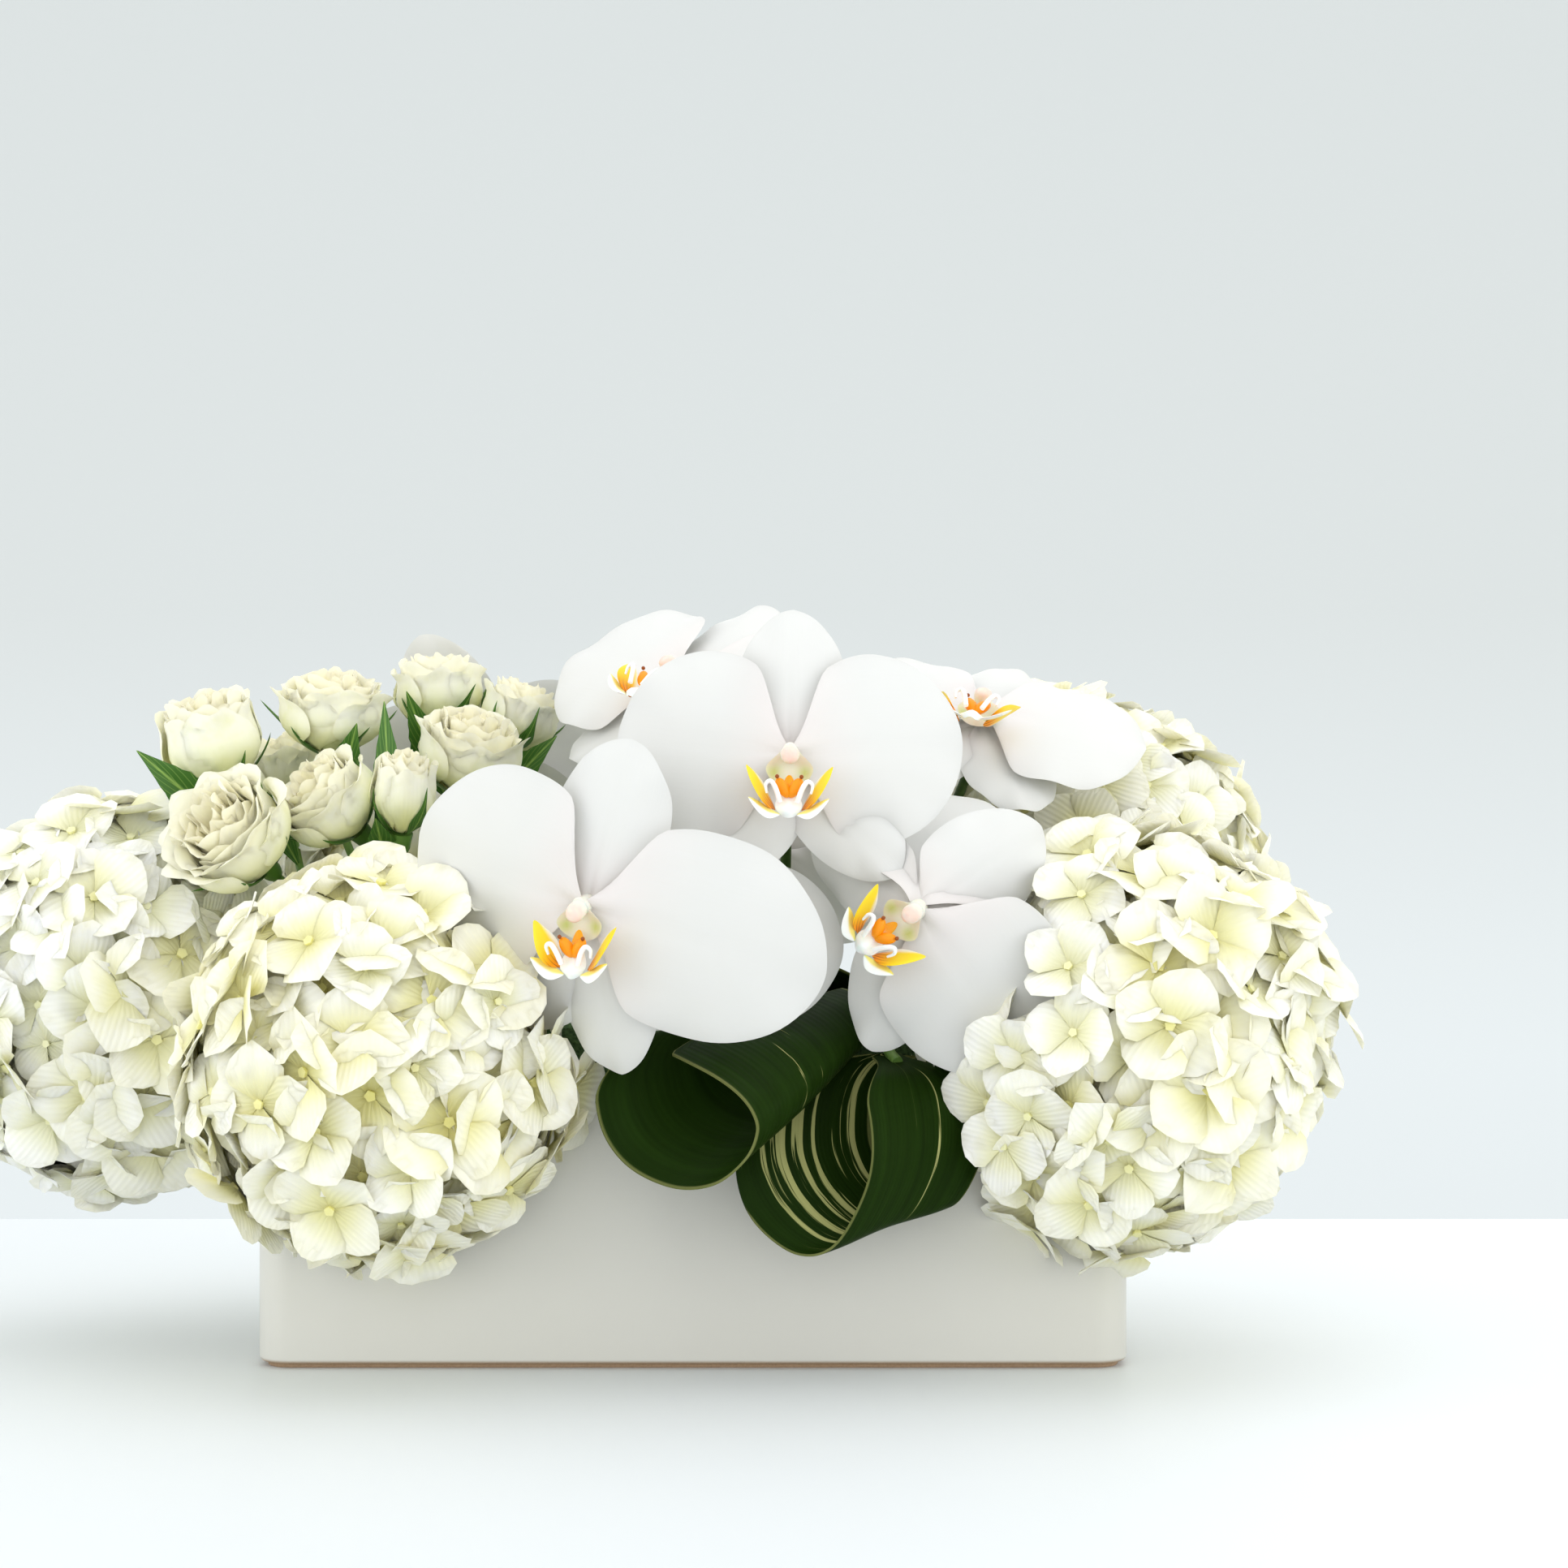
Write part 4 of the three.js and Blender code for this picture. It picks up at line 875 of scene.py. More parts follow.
def stalks(name, paths, radius, material, slot, nodes):
    """Stalks of one radius along paths, in millimetres, as one piece."""
    points = []
    edges = []
    for path in paths:
        first = len(points)
        points += (np.asarray(path) * MM).tolist()
        edges += [(place, place + 1) for place in range(first, len(points) - 1)]
    mesh = bpy.data.meshes.new(name)
    mesh.from_pydata(points, edges, [])
    made = new_object(name, mesh)
    sizes = {"Radius": radius * MM, "Material": material, **STALK}
    settle(grown(made, STALK_TREE, sizes), slot, *nodes)


def stalk_path(foot, mouth, approach, end, steps=12):
    """A stalk's path: straight from its foot to its mouth, then bent through approach to its end."""
    start = np.array([*foot, STEM_FOOT], float)
    corner = np.array([*mouth, STEM_MOUTH], float)
    ahead = unit(corner - start)
    lead = corner + ahead * np.linalg.norm(corner - np.asarray(approach)) / 2
    return np.vstack([start, bend(corner, lead, approach, end, steps)])


# ---------------------------------------------------------------- vase and foam


def block_ring(inset, z, corner_steps=10):
    """The vase's outline with its round corners, drawn in by inset."""
    radius = max(VASE["corner"] - inset, 0.5)
    x = VASE["length"] / 2 - inset - radius
    y = VASE["depth"] / 2 - inset - radius
    points = []
    for sign_x, sign_y, start in ((1, 1, 0), (-1, 1, 90), (-1, -1, 180), (1, -1, 270)):
        for step in range(corner_steps + 1):
            angle = math.radians(start + 90 * step / corner_steps)
            points.append((sign_x * x + radius * math.cos(angle), sign_y * y + radius * math.sin(angle), z))
    return points


def round_edge(inset, z, turn_from, turn_to, radius=LIP_ROUND, steps=5):
    """An arc of a profile about (inset, z), as (inset, height)."""
    angles = np.radians(np.linspace(turn_from, turn_to, steps + 1))
    return [(inset + radius * math.cos(a), z + radius * math.sin(a)) for a in angles]


def make_vase():
    """The vase's wall and floor in one closed skin, with a rolled lip and a bare foot."""
    height, wall = VASE["height"], VASE["wall"]
    foot = FOOT["height"]
    profile = [
        (FOOT["inset"] + 3, 0), (FOOT["inset"] + 0.4, 0), (FOOT["inset"], 0.4), (FOOT["inset"], foot)
    ]
    profile += round_edge(LIP_ROUND, foot + LIP_ROUND, 270, 180)
    profile += [(0, share * height) for share in (0.25, 0.5, 0.75)]
    profile += round_edge(LIP_ROUND, height - LIP_ROUND, 180, 90)
    profile += round_edge(wall - LIP_ROUND, height - LIP_ROUND, 90, 0)
    profile += [(wall, height / 2), (wall, VASE["floor"] + 3), (wall + 3, VASE["floor"])]
    rings = [block_ring(inset, z) for inset, z in profile]
    form = Form()
    form.add(rings, ring_faces(len(rings), len(rings[0])))
    add_piece(form, "glazed_vase", [GLAZE], "glaze", "vase")


def paint_foam():
    foam = frame["nodes"]["floral_foam"]
    foam.data.materials.clear()
    foam.data.materials.append(FOAM)


# ---------------------------------------------------------------- looped leaves


def at_back(leaf):
    """The same leaf on the other side of the vase."""
    def mirror(point):
        return (point[0], -point[1], *point[2:])

    rim = [mirror(point) for point in leaf["rim"]]
    return {**leaf, "rim": rim, "axis": mirror(leaf["axis"]), "foot": mirror(leaf["foot"])}


def leaf_rims(leaf):
    near = np.array(leaf["rim"], float)
    middle = near.mean(axis=0)
    return near, (near - middle) * leaf["coil"] + middle + np.array(leaf["axis"], float)


def make_leaf(leaf, index):
    """A strap leaf bent into a loop, with its petiole going down into the foam."""
    near, far = leaf_rims(leaf)
    rows, columns = LEAF["rows"], LEAF["columns"]
    along = np.linspace(0, 1, rows + 1)
    edge, opposite = through(near, along), through(far, along)
    run = opposite - edge
    across = np.linspace(-1, 1, columns + 1)
    taper = np.minimum(1, 0.22 + 0.78 * smooth(np.minimum(along * 7, (1 - along) * 20)))
    share = (across[None, :] * taper[:, None] + 1) / 2
    middle = edge[:, None] + run[:, None] * share[..., None]
    normal = np.cross(np.gradient(edge, axis=0), run)
    normal = normal / np.linalg.norm(normal, axis=1, keepdims=True)
    # the blade is channelled along its rib, and its edges wave a little
    channel = LEAF["channel"] * (1 - np.cos(math.pi * across[None, :])) * 0.5 * taper[:, None]
    wave = LEAF["wave"] * np.sin(along[:, None] * 19 + across[None, :] * 2) * across[None, :] ** 2
    middle = middle + normal[:, None] * (channel - LEAF["channel"] / 2 + wave)[..., None]
    offset = normal[:, None] * LEAF["thickness"] / 2
    count = (rows + 1) * (columns + 1)
    index_of = np.arange(count).reshape(rows + 1, columns + 1)
    faces = []
    for row in range(rows):
        for column in range(columns):
            corners = [
                index_of[row, column], index_of[row, column + 1],
                index_of[row + 1, column + 1], index_of[row + 1, column],
            ]
            faces.append([int(corner) + count for corner in corners])
            faces.append([int(corner) for corner in reversed(corners)])
    rim = [*index_of[0, :-1], *index_of[:-1, -1], *index_of[-1, :0:-1], *index_of[:0:-1, 0]]
    for here, after in zip(rim, rim[1:] + rim[:1]):
        faces.append([int(here), int(after), int(after) + count, int(here) + count])
    lean = STRIPE_LEAN["rate"] * leaf["striped"][1] * np.clip(along - STRIPE_LEAN["from"], 0, 1)
    marks = {
        "along": np.tile(np.repeat(along, columns + 1), 2),
        "across": np.tile(((across[None, :] + 1) / 2 + lean[:, None]).ravel(), 2),
        "layer": np.repeat(leaf["striped"], count),
    }
    form = Form("along", "across", "layer")
    form.add(
        np.concatenate([(middle + offset).reshape(-1, 3), (middle - offset).reshape(-1, 3)]), faces, **marks
    )
    root = (edge[0] + opposite[0]) / 2
    inside = (edge[12] + opposite[12]) / 2
    approach = root + unit(root - inside) * 10
    path = stalk_path(leaf["foot"], leaf["foot"], approach, (edge[4] + opposite[4]) / 2)
    name = f"leaf_loop_{index}"
    stalks(f"{name}_petiole", [path], PETIOLE_RADIUS, ROSE_STEM, "leaf", [name])
    add_piece(form, f"{name}_blade", [STRIPED_LEAF], "leaf", name)


# ---------------------------------------------------------------- orchids


def tepal_surface(length, width, lift, draw):
    """A tepal that grows along +Y: a narrow claw, a broad bowed blade, and a softly waved rim."""
    phase = draw.uniform(0, 6)
    broad = width > 50

    def surface(across, along):
        claw = TEPAL["claw"] + (1 - TEPAL["claw"]) * smooth(along / TEPAL["claw_end"])
        side = across * claw
        height = lift - TEPAL["bow"] * side ** 2 - TEPAL["arch"] * along ** 2
        out = np.clip(np.hypot(across, 2 * along - 1), 0, 1)
        around = np.arctan2(across, 2 * along - 1)
        ripple = (1.1 if broad else 0.6) * np.sin(5 * around + phase) + 0.6 * np.sin(9 * around - phase)
        rib = -0.7 * np.exp(-(across / 0.07) ** 2) * (1 - along)
        point = -0.02 * length * np.abs(side) if broad else 0.05 * length * (1 - np.abs(across)) * along
        return np.stack(
            [side * width / 2, along * length + point, height + ripple * out ** 4 + rib], axis=-1
        )

    return surface


def orchid_place(orchid):
    return frame_at(orchid["centre"], orchid["facing"]) @ turned("Z", -orchid["roll"])


def make_tepals(orchid, index):
    draw = np.random.default_rng(SEEDS["tepals"] + index)
    place = orchid_place(orchid)
    form = Form("along", "across")
    for part, tepal in TEPALS.items():
        change = orchid.get("adjust", {}).get(part, {})
        size = orchid["size"]
        length = tepal["length"] * change.get("grow", 1) * size
        surface = tepal_surface(length, tepal["width"] * size, tepal["lift"] * size, draw)
        tilt = turned("X", tepal["tilt"] + change.get("tilt", 0))
        turn = turned("Z", -(tepal["turn"] + change.get("turn", 0)))
        form.add_petal(surface, 22, 20, TEPAL["thickness"], place @ turn @ tilt)
    add_piece(form, f"orchid_{index}_tepals", [ORCHID_TISSUE], "orchid_petal", f"orchid_{index}_bloom")


def column_form(form, place, paint):
    """The column: a short stout finger that bends forward, with a blunt cap at its tip."""
    shaft = [(3.1, -3), (3.4, 0), (3.2, 3), (3.1, 6), (3.3, 8.5), (2.9, 10.3), (1.6, 11.4)]
    points, faces = turned_solid(shaft, 16)
    points = np.array(points)
    points[:, 1] -= 0.012 * np.clip(points[:, 2], 0, 20) ** 2
    form.add(points, faces, place, paint, along=(points[:, 2] + 3) / 15)


def hood(across, along):
    """The cup that widens from the top of the column down to the side lobes."""
    wide = 3.6 + 4.6 * smooth((along - 0.12) / 0.5)
    side = across * wide
    y = 3.6 - 15.5 * along
    z = 5.6 - 3.4 * smooth((along - 0.1) / 0.45) + 3.2 * np.abs(across) ** 3 * smooth(along / 0.5)
    return np.stack([-side, y, z], axis=-1)


def hollow(across, along):
    """How much painted shade the cup takes: pale green only in the two hollows beside the column."""
    return np.exp(-((np.abs(across) - 0.66) / 0.3) ** 2 - ((along - 0.66) / 0.17) ** 2)


SIDE_LOBE = [(4.3, -19.9, 8.5), (6.6, -17.4, 9.5), (9, -13.6, 10), (11.6, -9.4, 10), (14.6, -4.8, 9)]
WING = [(2.8, -21.6, 11.5), (6.6, -21.2, 12.5), (10.4, -18.9, 13.5), (13.6, -16.2, 14.5)]
HORN = [(2.9, -17.5, 13.5), (4.5, -13, 15), (6.2, -10.7, 15.5), (7.8, -11.8, 15), (7.4, -14.6, 14)]
CALLUS_ARM = [(0, -15.6, 10.5), (4.1, -9.3, 11)]


def side_lobe(way):
    """One raised side lobe, which stands on edge and curves out and up from its narrow foot."""
    def surface(across, along):
        line = through(SIDE_LOBE, along)
        deep = across * (2.2 + 2.8 * np.sin(math.pi * np.clip(along + 0.05, 0, 1)))
        lean = across * (0.8 + 1.5 * np.sin(math.pi * along * 0.9))
        bulge = 0.5 * (1 - across ** 2) * np.sin(math.pi * along)
        x = line[..., 0] + 0.55 * lean + bulge
        y = line[..., 1] - 0.85 * lean
        return np.stack([way * x, y, line[..., 2] + deep], axis=-1)

    return surface


def wing(way):
    """The short low wing under a side lobe."""
    def surface(across, along):
        line = through(WING, along)
        side = across * (1.1 + 1.1 * np.sin(math.pi * along))
        return np.stack([way * line[..., 0], line[..., 1] + side, line[..., 2] - 0.9 * side], axis=-1)

    return surface


def middle_lobe(across, along):
    """The lip's middle lobe: a narrow trough that widens and rolls down at its tip."""
    wide = 2.4 + 2.9 * smooth((along - 0.3) / 0.5)
    y = -7.5 - 15.2 * along
    z = 5 + 9.6 * along ** 1.3 - 3.2 * smooth((along - 0.8) / 0.2) + 1.3 * np.cos(across * 4) * along
    return np.stack([-across * wide, y, z], axis=-1)


def tube(path, radii, sides):
    """A tube along a path with a radius at each of its points, closed at both ends."""
    path = np.asarray(path, float)
    ahead = np.gradient(path, axis=0)
    ahead /= np.linalg.norm(ahead, axis=1, keepdims=True)
    side = np.cross(ahead, (0.31, 0.17, 0.93))
    side /= np.linalg.norm(side, axis=1, keepdims=True)
    other = np.cross(ahead, side)
    angles = np.arange(sides) / sides * 2 * math.pi
    rings = path[:, None] + np.asarray(radii)[:, None, None] * (
        np.cos(angles)[None, :, None] * side[:, None] + np.sin(angles)[None, :, None] * other[:, None]
    )
    return rings.reshape(-1, 3), ring_faces(len(path), sides)


def horn(path, radius, sides=8):
    """A slender horn along a path that thins towards its end."""
    return tube(path, radius * (1 - 0.55 * np.linspace(0, 1, len(path)) ** 2), sides)


def spindle(path, radius, sides=8):
    """A plump rounded body along a path."""
    swell = np.sqrt(np.clip(1 - np.linspace(-0.98, 0.98, len(path)) ** 2, 0, 1))
    return tube(path, radius * swell, sides)


def make_lip(orchid, index):
    """The lip with its lobes, wings, horns and callus, below the hooded column."""
    place = orchid_place(orchid)
    form = Form("along", "across", "layer")
    steps = np.linspace(0, 1, 16)
    side, blade, column = range(3)  # which of the three materials
    for way in (1, -1):
        form.add_petal(side_lobe(way), 14, 8, LIP_THICKNESS["side"], place, side, way > 0)
        form.add_petal(wing(way), 10, 4, LIP_THICKNESS["side"], place, blade, way > 0, along=1)
        mirror = np.array((way, 1, 1))
        form.add(*horn(through(HORN, steps) * mirror, 0.95), place, blade, along=0.9, across=-1)
        arm = through(CALLUS_ARM, steps) * mirror
        form.add(*spindle(arm, 2.1), place, side, along=0.1, across=0.9)
        pit = np.linspace(arm[-1] + (-0.7, 0.4, 1.4), arm[-1] + (0.7, 0.6, 1.4), 7)
        form.add(*spindle(pit, 0.75), place, side, along=0, across=0.06)
    points, faces, across, along = petal(middle_lobe, 14, 8, LIP_THICKNESS["middle"])
    form.add(points, faces, place, blade, across=-0.4 - np.abs(across), along=along)
    points, faces, across, along = petal(hood, 14, 12, LIP_THICKNESS["middle"])
    form.add(points, faces, place, column, across=across, along=0, layer=hollow(across, along))
    column_form(form, place, column)
    paints = [LIP_TISSUE, LIP_BLADE_TISSUE, COLUMN_TISSUE]
    add_piece(form, f"orchid_{index}_lip_and_column", paints, "orchid_lip", f"orchid_{index}_lip")


def make_orchid_stalk(orchid, index):
    ahead = unit(orchid["facing"])
    centre = np.array(orchid["centre"], float)
    approach = orchid.get("approach", centre - ahead * 28)
    path = stalk_path(orchid["foot"], orchid["foot"], approach, centre - ahead * ORCHID_BACK)
    stalks(
        f"orchid_{index}_stalk", [path], ORCHID_STEM_RADIUS, ORCHID_STALK_PAINTED_SHADE, "stem", [f"orchid_{index}_stem"]
    )


# ---------------------------------------------------------------- roses


def rose_wall(radius, opened, along):
    """How far the outermost petals stand from a rose's axis, below their rolled rims."""
    belly = np.sin(math.pi / 2 * np.clip(along / 0.55, 0, 1)) ** 0.75
    return 2.2 + radius * (0.68 + 0.08 * opened) * belly


def rose_petal(radius, height, opened, layer, draw):
    """One petal of a rose that grows along +Z, from its heart at layer 0 to its guard at layer 1."""
    share = 0.1 + 0.9 * layer ** 0.8
    spread = 1.7 - 0.75 * layer
    flare = radius * (0.04 + 0.24 * opened * layer ** 1.3)
    tall = height * (0.92 + 0.06 * draw.uniform(-1, 1) - (0.02 + 0.14 * opened) * layer ** 2)
    phase = draw.uniform(0, 6)
    tuck = 0.07

    def surface(across, along):
        gather = 1 - (0.28 - 0.28 * layer * opened) * smooth((along - 0.5) / 0.5)
        rolled = smooth((along - 0.66) / 0.34)
        out = 2.2 + (rose_wall(radius, opened, along) - 2.2) * share * gather + flare * rolled ** 1.5
        frill = 0.07 * radius * np.sin(8 * across + phase) * along ** 4
        out = out * (1 + tuck * across) + 0.03 * radius * np.sin(3 * across + phase) * along + frill
        angle = across * spread * (0.45 + 0.55 * smooth(along / 0.5))
        dip = 0.05 * across ** 2 * along + 0.035 * np.sin(9 * across + 2 * phase) * along ** 3
        z = tall * along - height * (0.1 * opened * layer * rolled ** 3 + dip)
        return np.stack([out * np.cos(angle), out * np.sin(angle), z], axis=-1)

    return surface


def make_rose(rose, index):
    draw = np.random.default_rng(SEEDS["rose"] + index)
    opened = rose["open"]
    count = 20 + round(14 * opened)
    axis = unit(rose["axis"])
    place = grow_at(np.array(rose["centre"], float) - axis * rose["height"] / 2, rose["axis"])
    form = Form("along", "across", "layer")
    for order in range(count):
        layer = order / (count - 1)
        surface = rose_petal(rose["radius"], rose["height"], opened, layer, draw)
        turn = turned("Z", order * ROSE_PETAL["turn"])
        form.add_petal(surface, 10, 12, ROSE_PETAL["thickness"], place @ turn, layer=layer)
    add_piece(form, f"rose_{index}_petals", [ROSE_TISSUE], "rose_petal", f"rose_{index}")


def sepal_surface(rose, length, width, stray):
    """A narrow pointed sepal that hugs the foot of a rose and strays from it towards its tip."""
    def surface(across, along):
        z = length * along * (1 - 0.25 * along * stray)
        out = rose_wall(rose["radius"], rose["open"], z / rose["height"]) + 1.1 + 13 * stray * along ** 2
        narrow = 0.3 + 0.7 * np.exp(-((along - 0.3) / 0.25) ** 2)
        side = across * width / 2 * narrow * (1.02 - along) ** 0.3
        return np.stack([-side, out - 0.12 * np.abs(side), z], axis=-1)

    return surface


def serrated_leaf(length, width):
    """A folded rose leaf along +Z with a toothed rim."""
    def surface(across, along):
        outline = np.sin(math.pi * np.clip(along * 0.96 + 0.02, 0, 1) ** 0.8)
        teeth = 1 + 0.07 * np.sin(along * 60) * np.abs(across) ** 6
        side = across * width / 2 * (0.15 + 0.85 * outline) * teeth
        fold = 0.28 * np.abs(side) + 0.1 * width * np.sin(math.pi * along)
        return np.stack([side, fold, along * length], axis=-1)

    return surface


def make_spray(spray):
    """A branched rose stem with its calyxes, needle sepals and leaves."""
    fork = np.array(spray["fork"], float)
    foot = spray["foot"]
    approach = ((foot[0] + fork[0]) / 2, (foot[1] + fork[1]) / 2, fork[2] - 12)
    trunk = stalk_path(foot, foot, approach, fork)
    form = Form("along", "across")
    twigs = {}
    for index in spray["roses"]:
        rose = ROSES[index]
        draw = np.random.default_rng(SEEDS["sepals"] + index)
        axis = unit(rose["axis"])
        base = np.array(rose["centre"], float) - axis * (rose["height"] / 2 + 0.4)
        start = fork - (0, 0, 4)
        elbow = base - axis * 29
        lead, near = start + (elbow - start) * 0.66, base + (elbow - base) * 0.66
        twigs[index] = bend(start, lead, near, base - axis * 6, 10)
        place = grow_at(base, rose["axis"])
        cup = [(1.4, -9.5), (2.6, -8.2), (3.6, -6), (3.9, -3.6), (4.2, -1.6), (4.4, -0.2)]
        form.add(*turned_solid(cup, 12), place, 0, along=0.6, across=0.5)
        for order in range(5):
            surface = sepal_surface(
                rose, draw.uniform(13, 22), draw.uniform(6, 9), draw.uniform(0, 0.8) ** 2
            )
            turn = turned("Z", order * 72 + draw.uniform(-9, 9))
            form.add_petal(surface, 9, 4, SEPAL_THICKNESS, place @ turn)
    for index, tip, width in spray["leaves"]:
        root = twigs[index][6]
        reach = np.array(tip, float) - root
        surface = serrated_leaf(np.linalg.norm(reach), width)
        form.add_petal(surface, 14, 8, ROSE_LEAF_THICKNESS, frame_at(root, reach, (0, -1, 0.4)))
    stalks(f"{spray['name']}_stalk", [trunk], SPRAY_STEM_RADIUS, ROSE_STEM, "stem", [spray["name"]])
    stalks(f"{spray['name']}_twigs", list(twigs.values()), TWIG_RADIUS, ROSE_STEM, "stem", [spray["name"]])
    add_piece(form, f"{spray['name']}_sepals_and_leaves", [ROSE_LEAF], "stem", spray["name"])


# ---------------------------------------------------------------- hydrangeas


def floret_petal(draw):
    """One broad papery sepal of a floret, which grows along +Y: it is widest past its middle, ends in a
    blunt point, and its rim curls."""
    length = FLORET["reach"] * draw.uniform(0.85, 1.04)
    width = length * draw.uniform(1.1, 1.32)
    cup = draw.uniform(-3, 4)
    curl = draw.uniform(-1.0, 3.0)
    wave = draw.uniform(-2.8, 2.8)
    point = draw.uniform(0.02, 0.12)

    def surface(across, along):
        narrow = 0.42 + 0.58 * smooth(along / 0.5)
        side = across * width / 2 * narrow
        ahead = along * (length - 0.8) * (1 + point * (1 - 2 * np.abs(across)))
        fold = -1.4 * np.exp(-(across / 0.3) ** 2) * along
        rim = curl * np.abs(across) ** 2.5 * along + wave * np.sin(3.1 * across + 2 * along) * along ** 2
        return np.stack([side, 0.8 + ahead, cup * along ** 2 - rim + fold], axis=-1)

    return surface


def floret_kind(index):
    """A four-lobed floret that faces +Z, its sepals lapped like a pinwheel, with a closed eye."""
    draw = np.random.default_rng(SEEDS["floret"] + index)
    form = Form("along", "across")
    lift = draw.uniform(-5, 13)
    for lobe in range(4):
        surface = floret_petal(draw)
        place = turned("Z", lobe * 90 + draw.uniform(-9, 9)) @ turned("Y", draw.uniform(2, 13))
        tilt = turned("X", lift + draw.uniform(-8, 10))
        form.add_petal(surface, 3, 4, FLORET["thickness"], place @ tilt)
    eye, eye_faces = turned_solid([(1.5, -0.4), (1.9, 1.6)], 5)
    form.add(eye, eye_faces, None, 0, along=0, across=0)
    name = f"floret_kind_{index}"
    return bpy.data.objects.new(name, form.mesh(name, [FLORET_TISSUE]))


def even_directions(count):
    golden = math.pi * (3 - math.sqrt(5))
    order = np.arange(count)
    height = 1 - (2 * order + 1) / count
    ring = np.sqrt(1 - height ** 2)
    return np.stack([ring * np.cos(order * golden), ring * np.sin(order * golden), height], axis=-1)


def pressed_reach(head, direction):
    """How far a head reaches in a direction before it presses on a neighbouring head."""
    centre = np.array(head["centre"], float)
    reach = head["radius"]
    for other in HEADS:
        towards = np.array(other["centre"], float) - centre
        distance = np.linalg.norm(towards)
        if other is head or distance > head["radius"] + other["radius"]:
            continue
        plane = (distance ** 2 + head["radius"] ** 2 - other["radius"] ** 2) / (2 * distance) - 1
        facing = direction @ towards / distance
        if facing > 0:
            reach = min(reach, plane / facing)
    if "trim" in head:
        side, amount = head["trim"]
        reach *= 1 - amount * max(0, direction @ unit(side)) ** 2
    return reach


def neighbours():
    """A search tree over the solids that florets keep clear of."""
    points = []
    faces = []
    for name, node in frame["nodes"].items():
        if name.startswith("hydrangea") and not name.endswith("stem"):
            continue
        first = len(points)
        points += [tuple(vertex.co / MM) for vertex in node.data.vertices]
        faces += [[corner + first for corner in polygon.vertices] for polygon in node.data.polygons]
    return BVHTree.FromPolygons(points, faces)


def seat(head, direction, reach, solids, clear):
    """Where a floret sits in a direction: as far out as leaves it clear, or None."""
    centre = Vector(head["centre"])
    core = head["radius"] * SEAT["innermost"]
    outward = Vector(direction)
    hit = solids.ray_cast(centre + outward * core, outward, reach + clear - core)
    if hit[0] is not None:
        reach = min(reach, (hit[0] - centre).length - SEAT["gap"])
    while reach > core:
        spot = centre + outward * reach
        near = solids.find_nearest(spot, clear)
        if near[0] is None:
            return np.array(spot)
        reach -= SEAT["step"]
    return None


def head_points(head, solids, layer, draw):
    """Seats and facings of a layer of florets."""
    share = layer["share"]
    radius = head["radius"] * share
    count = round(4 * math.pi * radius ** 2 / layer["spacing"] ** 2 * 1.2)
    places = []
    facings = []
    for direction in even_directions(count):
        direction = unit(direction + draw.normal(0, FLORET["scatter"], 3))
        reach = pressed_reach(head, direction) * share - draw.uniform(*FLORET["set_back"]) * share
        spot = seat(head, direction, reach, solids, layer["clear"])
        if spot is not None:
            places.append(spot)
            facings.append(unit(direction + draw.normal(0, FLORET["nod"], 3)))
    return places, facings


def make_core(head, solids):
    """The dim inner ball that the florets stand out of, drawn in where something presses on it."""
    directions = even_directions(CORE["points"])
    centre = np.array(head["centre"], float)
    points = []
    for direction in directions:
        reach = pressed_reach(head, direction) * CORE["share"]
        hit = solids.ray_cast(Vector(centre), Vector(direction), reach)
        if hit[0] is not None:
            reach = max(CORE["least"], (hit[0] - Vector(centre)).length - CORE["gap"])
        points.append(centre + direction * reach)
    return points, directions


def make_head(head, index, kinds, solids):
    draw = np.random.default_rng(SEEDS["head"] + index)
    name = head["name"]
    for order, (depth, layer) in enumerate(LAYERS.items()):
        places, facings = head_points(head, solids, layer, draw)
        mesh = bpy.data.meshes.new(name)
        mesh.from_pydata((np.array(places) * MM).tolist(), [], [])
        facing = mesh.attributes.new("facing", "FLOAT_VECTOR", "POINT")
        facing.data.foreach_set("vector", np.array(facings).ravel())
        made = new_object(f"{name}_{depth}_florets", mesh)
        inputs = {
            "Kinds": kinds, "Kind Count": len(kinds.objects), "Smallest": layer["sizes"][0],
            # a layer's extra warmth is painted shade on the deeper florets
            "Largest": layer["sizes"][1], "Warmth": min(1, head["warmth"] + layer["painted_shade_warmth"]),
            "Seed": index * 10 + order, "Material": FLORET_TISSUE,
        }
        settle(grown(made, FLORET_TREE, inputs), "hydrangea_floret", name)
    points, directions = make_core(head, solids)
    # the inner ball is partly painted shade: it fills the head's depths with the colour of their shade
    form = Form()
    form.add(points, hull_faces(directions))
    add_piece(form, f"{name}_inner_stalks", [INNER_BUDS_AND_PAINTED_SHADE], "hydrangea_floret", name)
    stalks(
        f"{name}_stalk", [stalk_path(*head["stem"])], HEAD_STEM_RADIUS, HYDRANGEA_STEM, "stem",
        [f"{name}_stem"],
    )


def hull_faces(directions):
    """Triangles that join directions on a ball into one closed skin."""
    shell = bmesh.new()
    for direction in directions:
        shell.verts.new(direction)
    bmesh.ops.convex_hull(shell, input=shell.verts)
    shell.verts.index_update()
    bmesh.ops.recalc_face_normals(shell, faces=shell.faces)
    faces = [[vertex.index for vertex in face.verts] for face in shell.faces]
    shell.free()
    return faces


# ---------------------------------------------------------------- stage, light and camera


def one_face(name, corners, material):
    mesh = bpy.data.meshes.new(name)
    mesh.from_pydata(corners, [], [(0, 1, 2, 3)])
    mesh.materials.append(material)
    return mesh


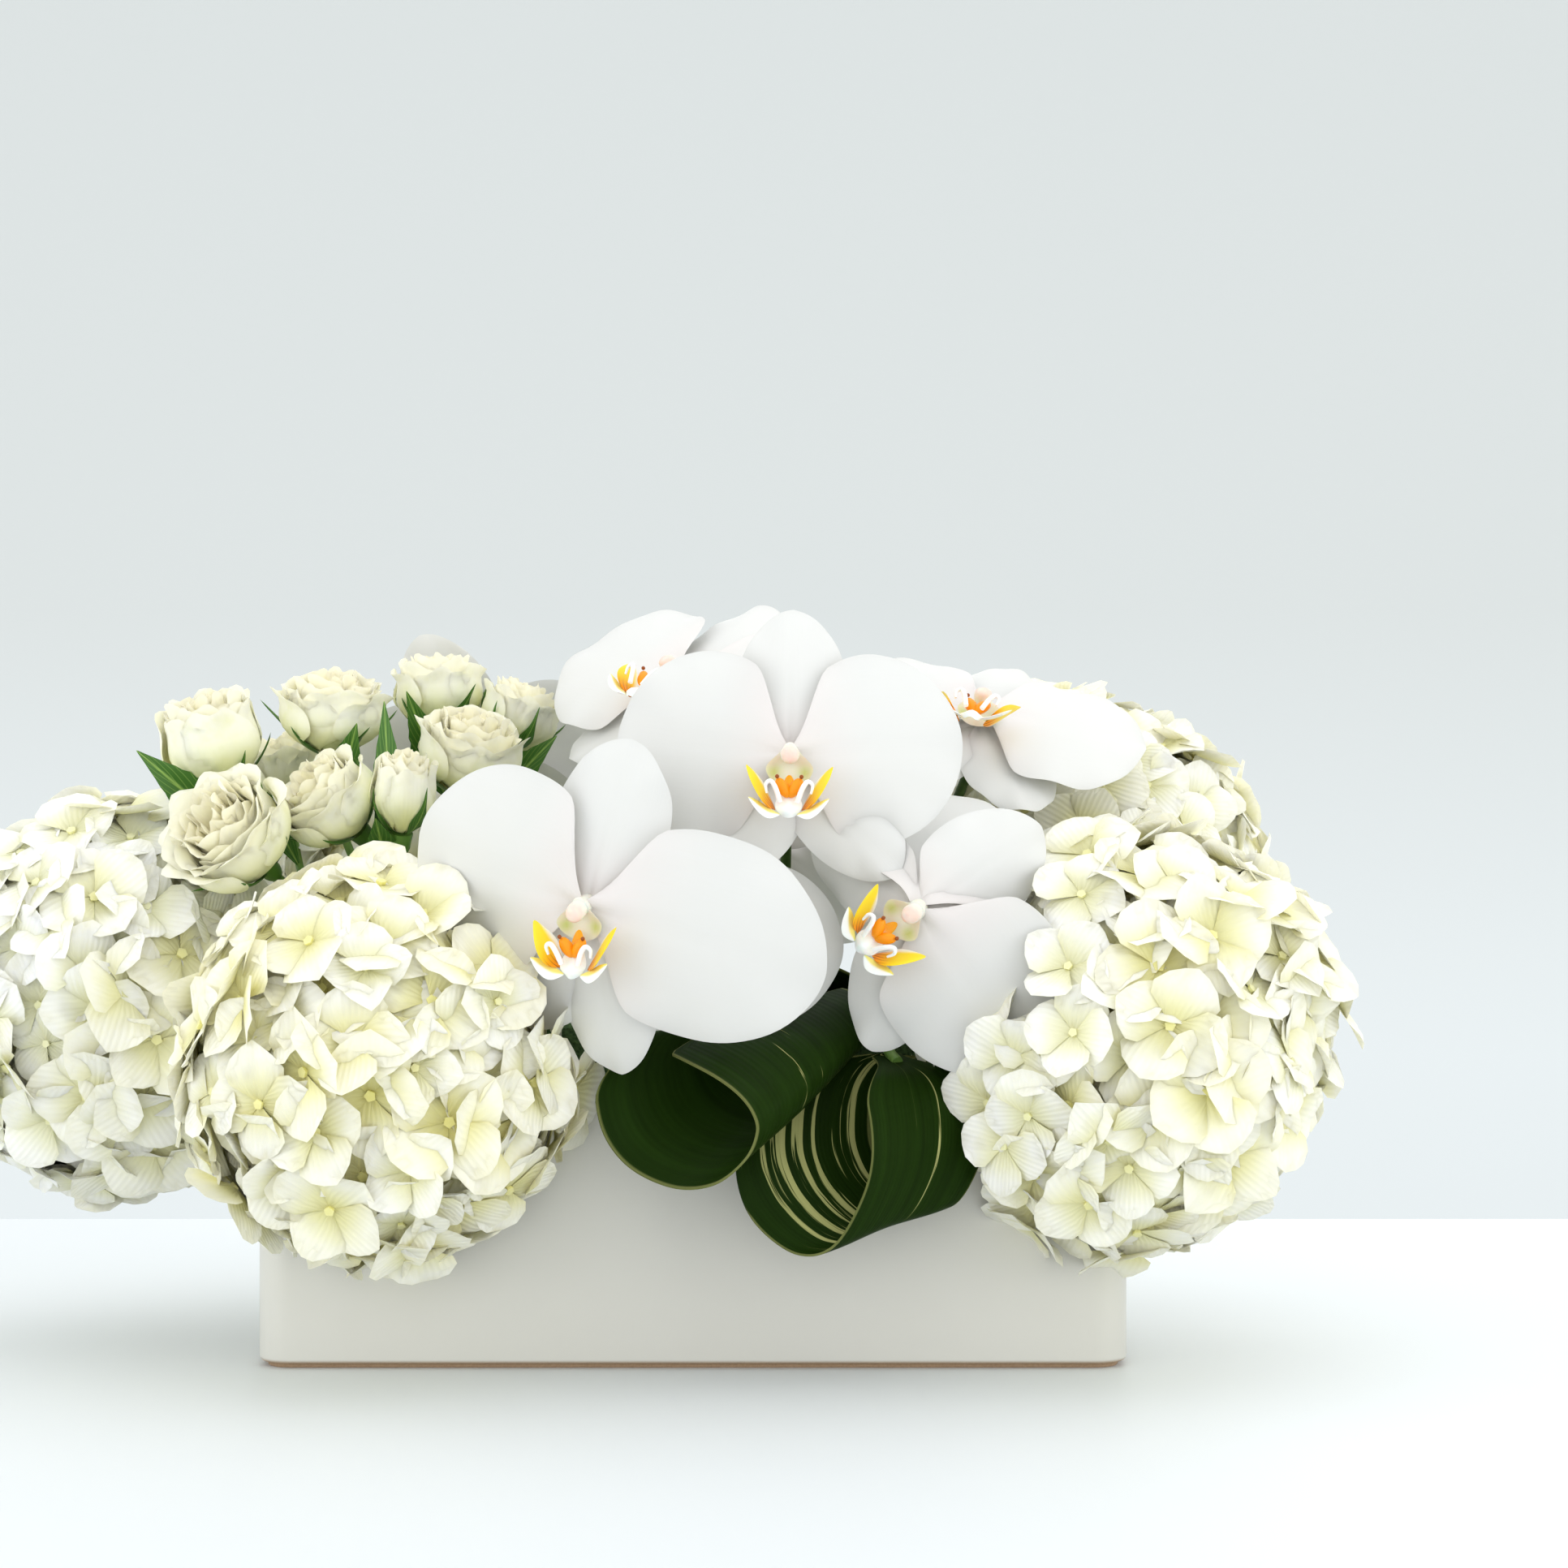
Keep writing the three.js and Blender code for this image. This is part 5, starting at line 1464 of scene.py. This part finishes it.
def make_stage():
    """A plain pale table that ends behind the vase."""
    material, add, place = new_material("pale_table", {"Roughness": 0.55}, "place")
    cloud = add("ShaderNodeTexNoise", {"Vector": place, "Scale": 3, "Detail": 2})
    colour = add("ShaderNodeMix", {FACTOR: cloud, A: linear("#DDE2E4"), B: linear("#E2E6E8")}, **COLOURS)
    side, back = TABLE["side"], TABLE["back"]
    corners = [(-side, -side, 0), (side, -side, 0), (side, back, 0), (-side, back, 0)]
    mesh = one_face("table", corners, finished(material, colour))
    new_object("table", mesh)


def set_backdrop():
    """The studio wall: matt paper with painted light, a little lighter and bluer towards the table."""
    material, add, place = new_material(
        "matt_backdrop_paper", {"Roughness": 0.95, "Specular IOR Level": 0.05}, "place"
    )
    height = add("ShaderNodeSeparateXYZ", {0: place}).outputs["Z"]
    upward = add(
        "ShaderNodeMapRange", {"Value": height, "From Min": BACKDROP["low"], "From Max": BACKDROP["high"]}
    )
    # painted light: the wall is lighter and bluer towards the table
    colour = add("ShaderNodeMix", {FACTOR: upward, A: linear("#DBE0E1"), B: linear("#D0D4D3")}, **COLOURS)
    side, back = BACKDROP["side"], BACKDROP["back"]
    corners = [(-side, back, -side), (side, back, -side), (side, back, side), (-side, back, side)]
    mesh = one_face("backdrop", corners, finished(material, colour))
    new_object("backdrop", mesh)


def add_light(name, place, target, size, power):
    light = bpy.data.lights.new(name, "AREA")
    light.size = size
    light.energy = power
    made = new_object(name, light)
    made.visible_camera = False
    made.location = place
    made.rotation_euler = (Vector(target) - Vector(place)).to_track_quat("-Z", "Y").to_euler()


def light_scene():
    world = bpy.data.worlds.new("pale_studio")
    bpy.context.scene.world = world
    world.use_nodes = True
    background = world.node_tree.nodes["Background"]
    background.inputs["Color"].default_value = linear(STUDIO["colour"])
    background.inputs["Strength"].default_value = STUDIO["strength"]
    for name, light in LIGHTS.items():
        add_light(name, **light)
    bpy.context.scene.view_settings.view_transform = "Standard"


def make_camera():
    camera = bpy.data.cameras.new("photo_view")
    camera.lens = CAMERA["lens"]
    camera.sensor_width = CAMERA["sensor"]
    made = new_object("photo_view", camera)
    made.location = Vector(CAMERA["place"]) * MM
    made.rotation_euler = (math.radians(90), 0, 0)
    bpy.context.scene.camera = made


# ---------------------------------------------------------------- the whole

make_camera()
make_stage()
set_backdrop()
light_scene()

make_vase()
paint_foam()
for number, leaf in enumerate([*LEAVES, *map(at_back, LEAVES)], start=1):
    make_leaf(leaf, number)
for number, orchid in enumerate(ORCHIDS, start=1):
    make_tepals(orchid, number)
    make_lip(orchid, number)
    make_orchid_stalk(orchid, number)
for number, rose in enumerate(ROSES, start=1):
    make_rose(rose, number)
for spray in SPRAYS:
    make_spray(spray)

floret_kinds = bpy.data.collections.new("floret_kinds")
for number in range(FLORET_KINDS):
    floret_kinds.objects.link(floret_kind(number))
solids = neighbours()
for number, head in enumerate(HEADS):
    make_head(head, number, floret_kinds, solids)
for kind in list(floret_kinds.objects):
    bpy.data.objects.remove(kind)
bpy.data.collections.remove(floret_kinds)
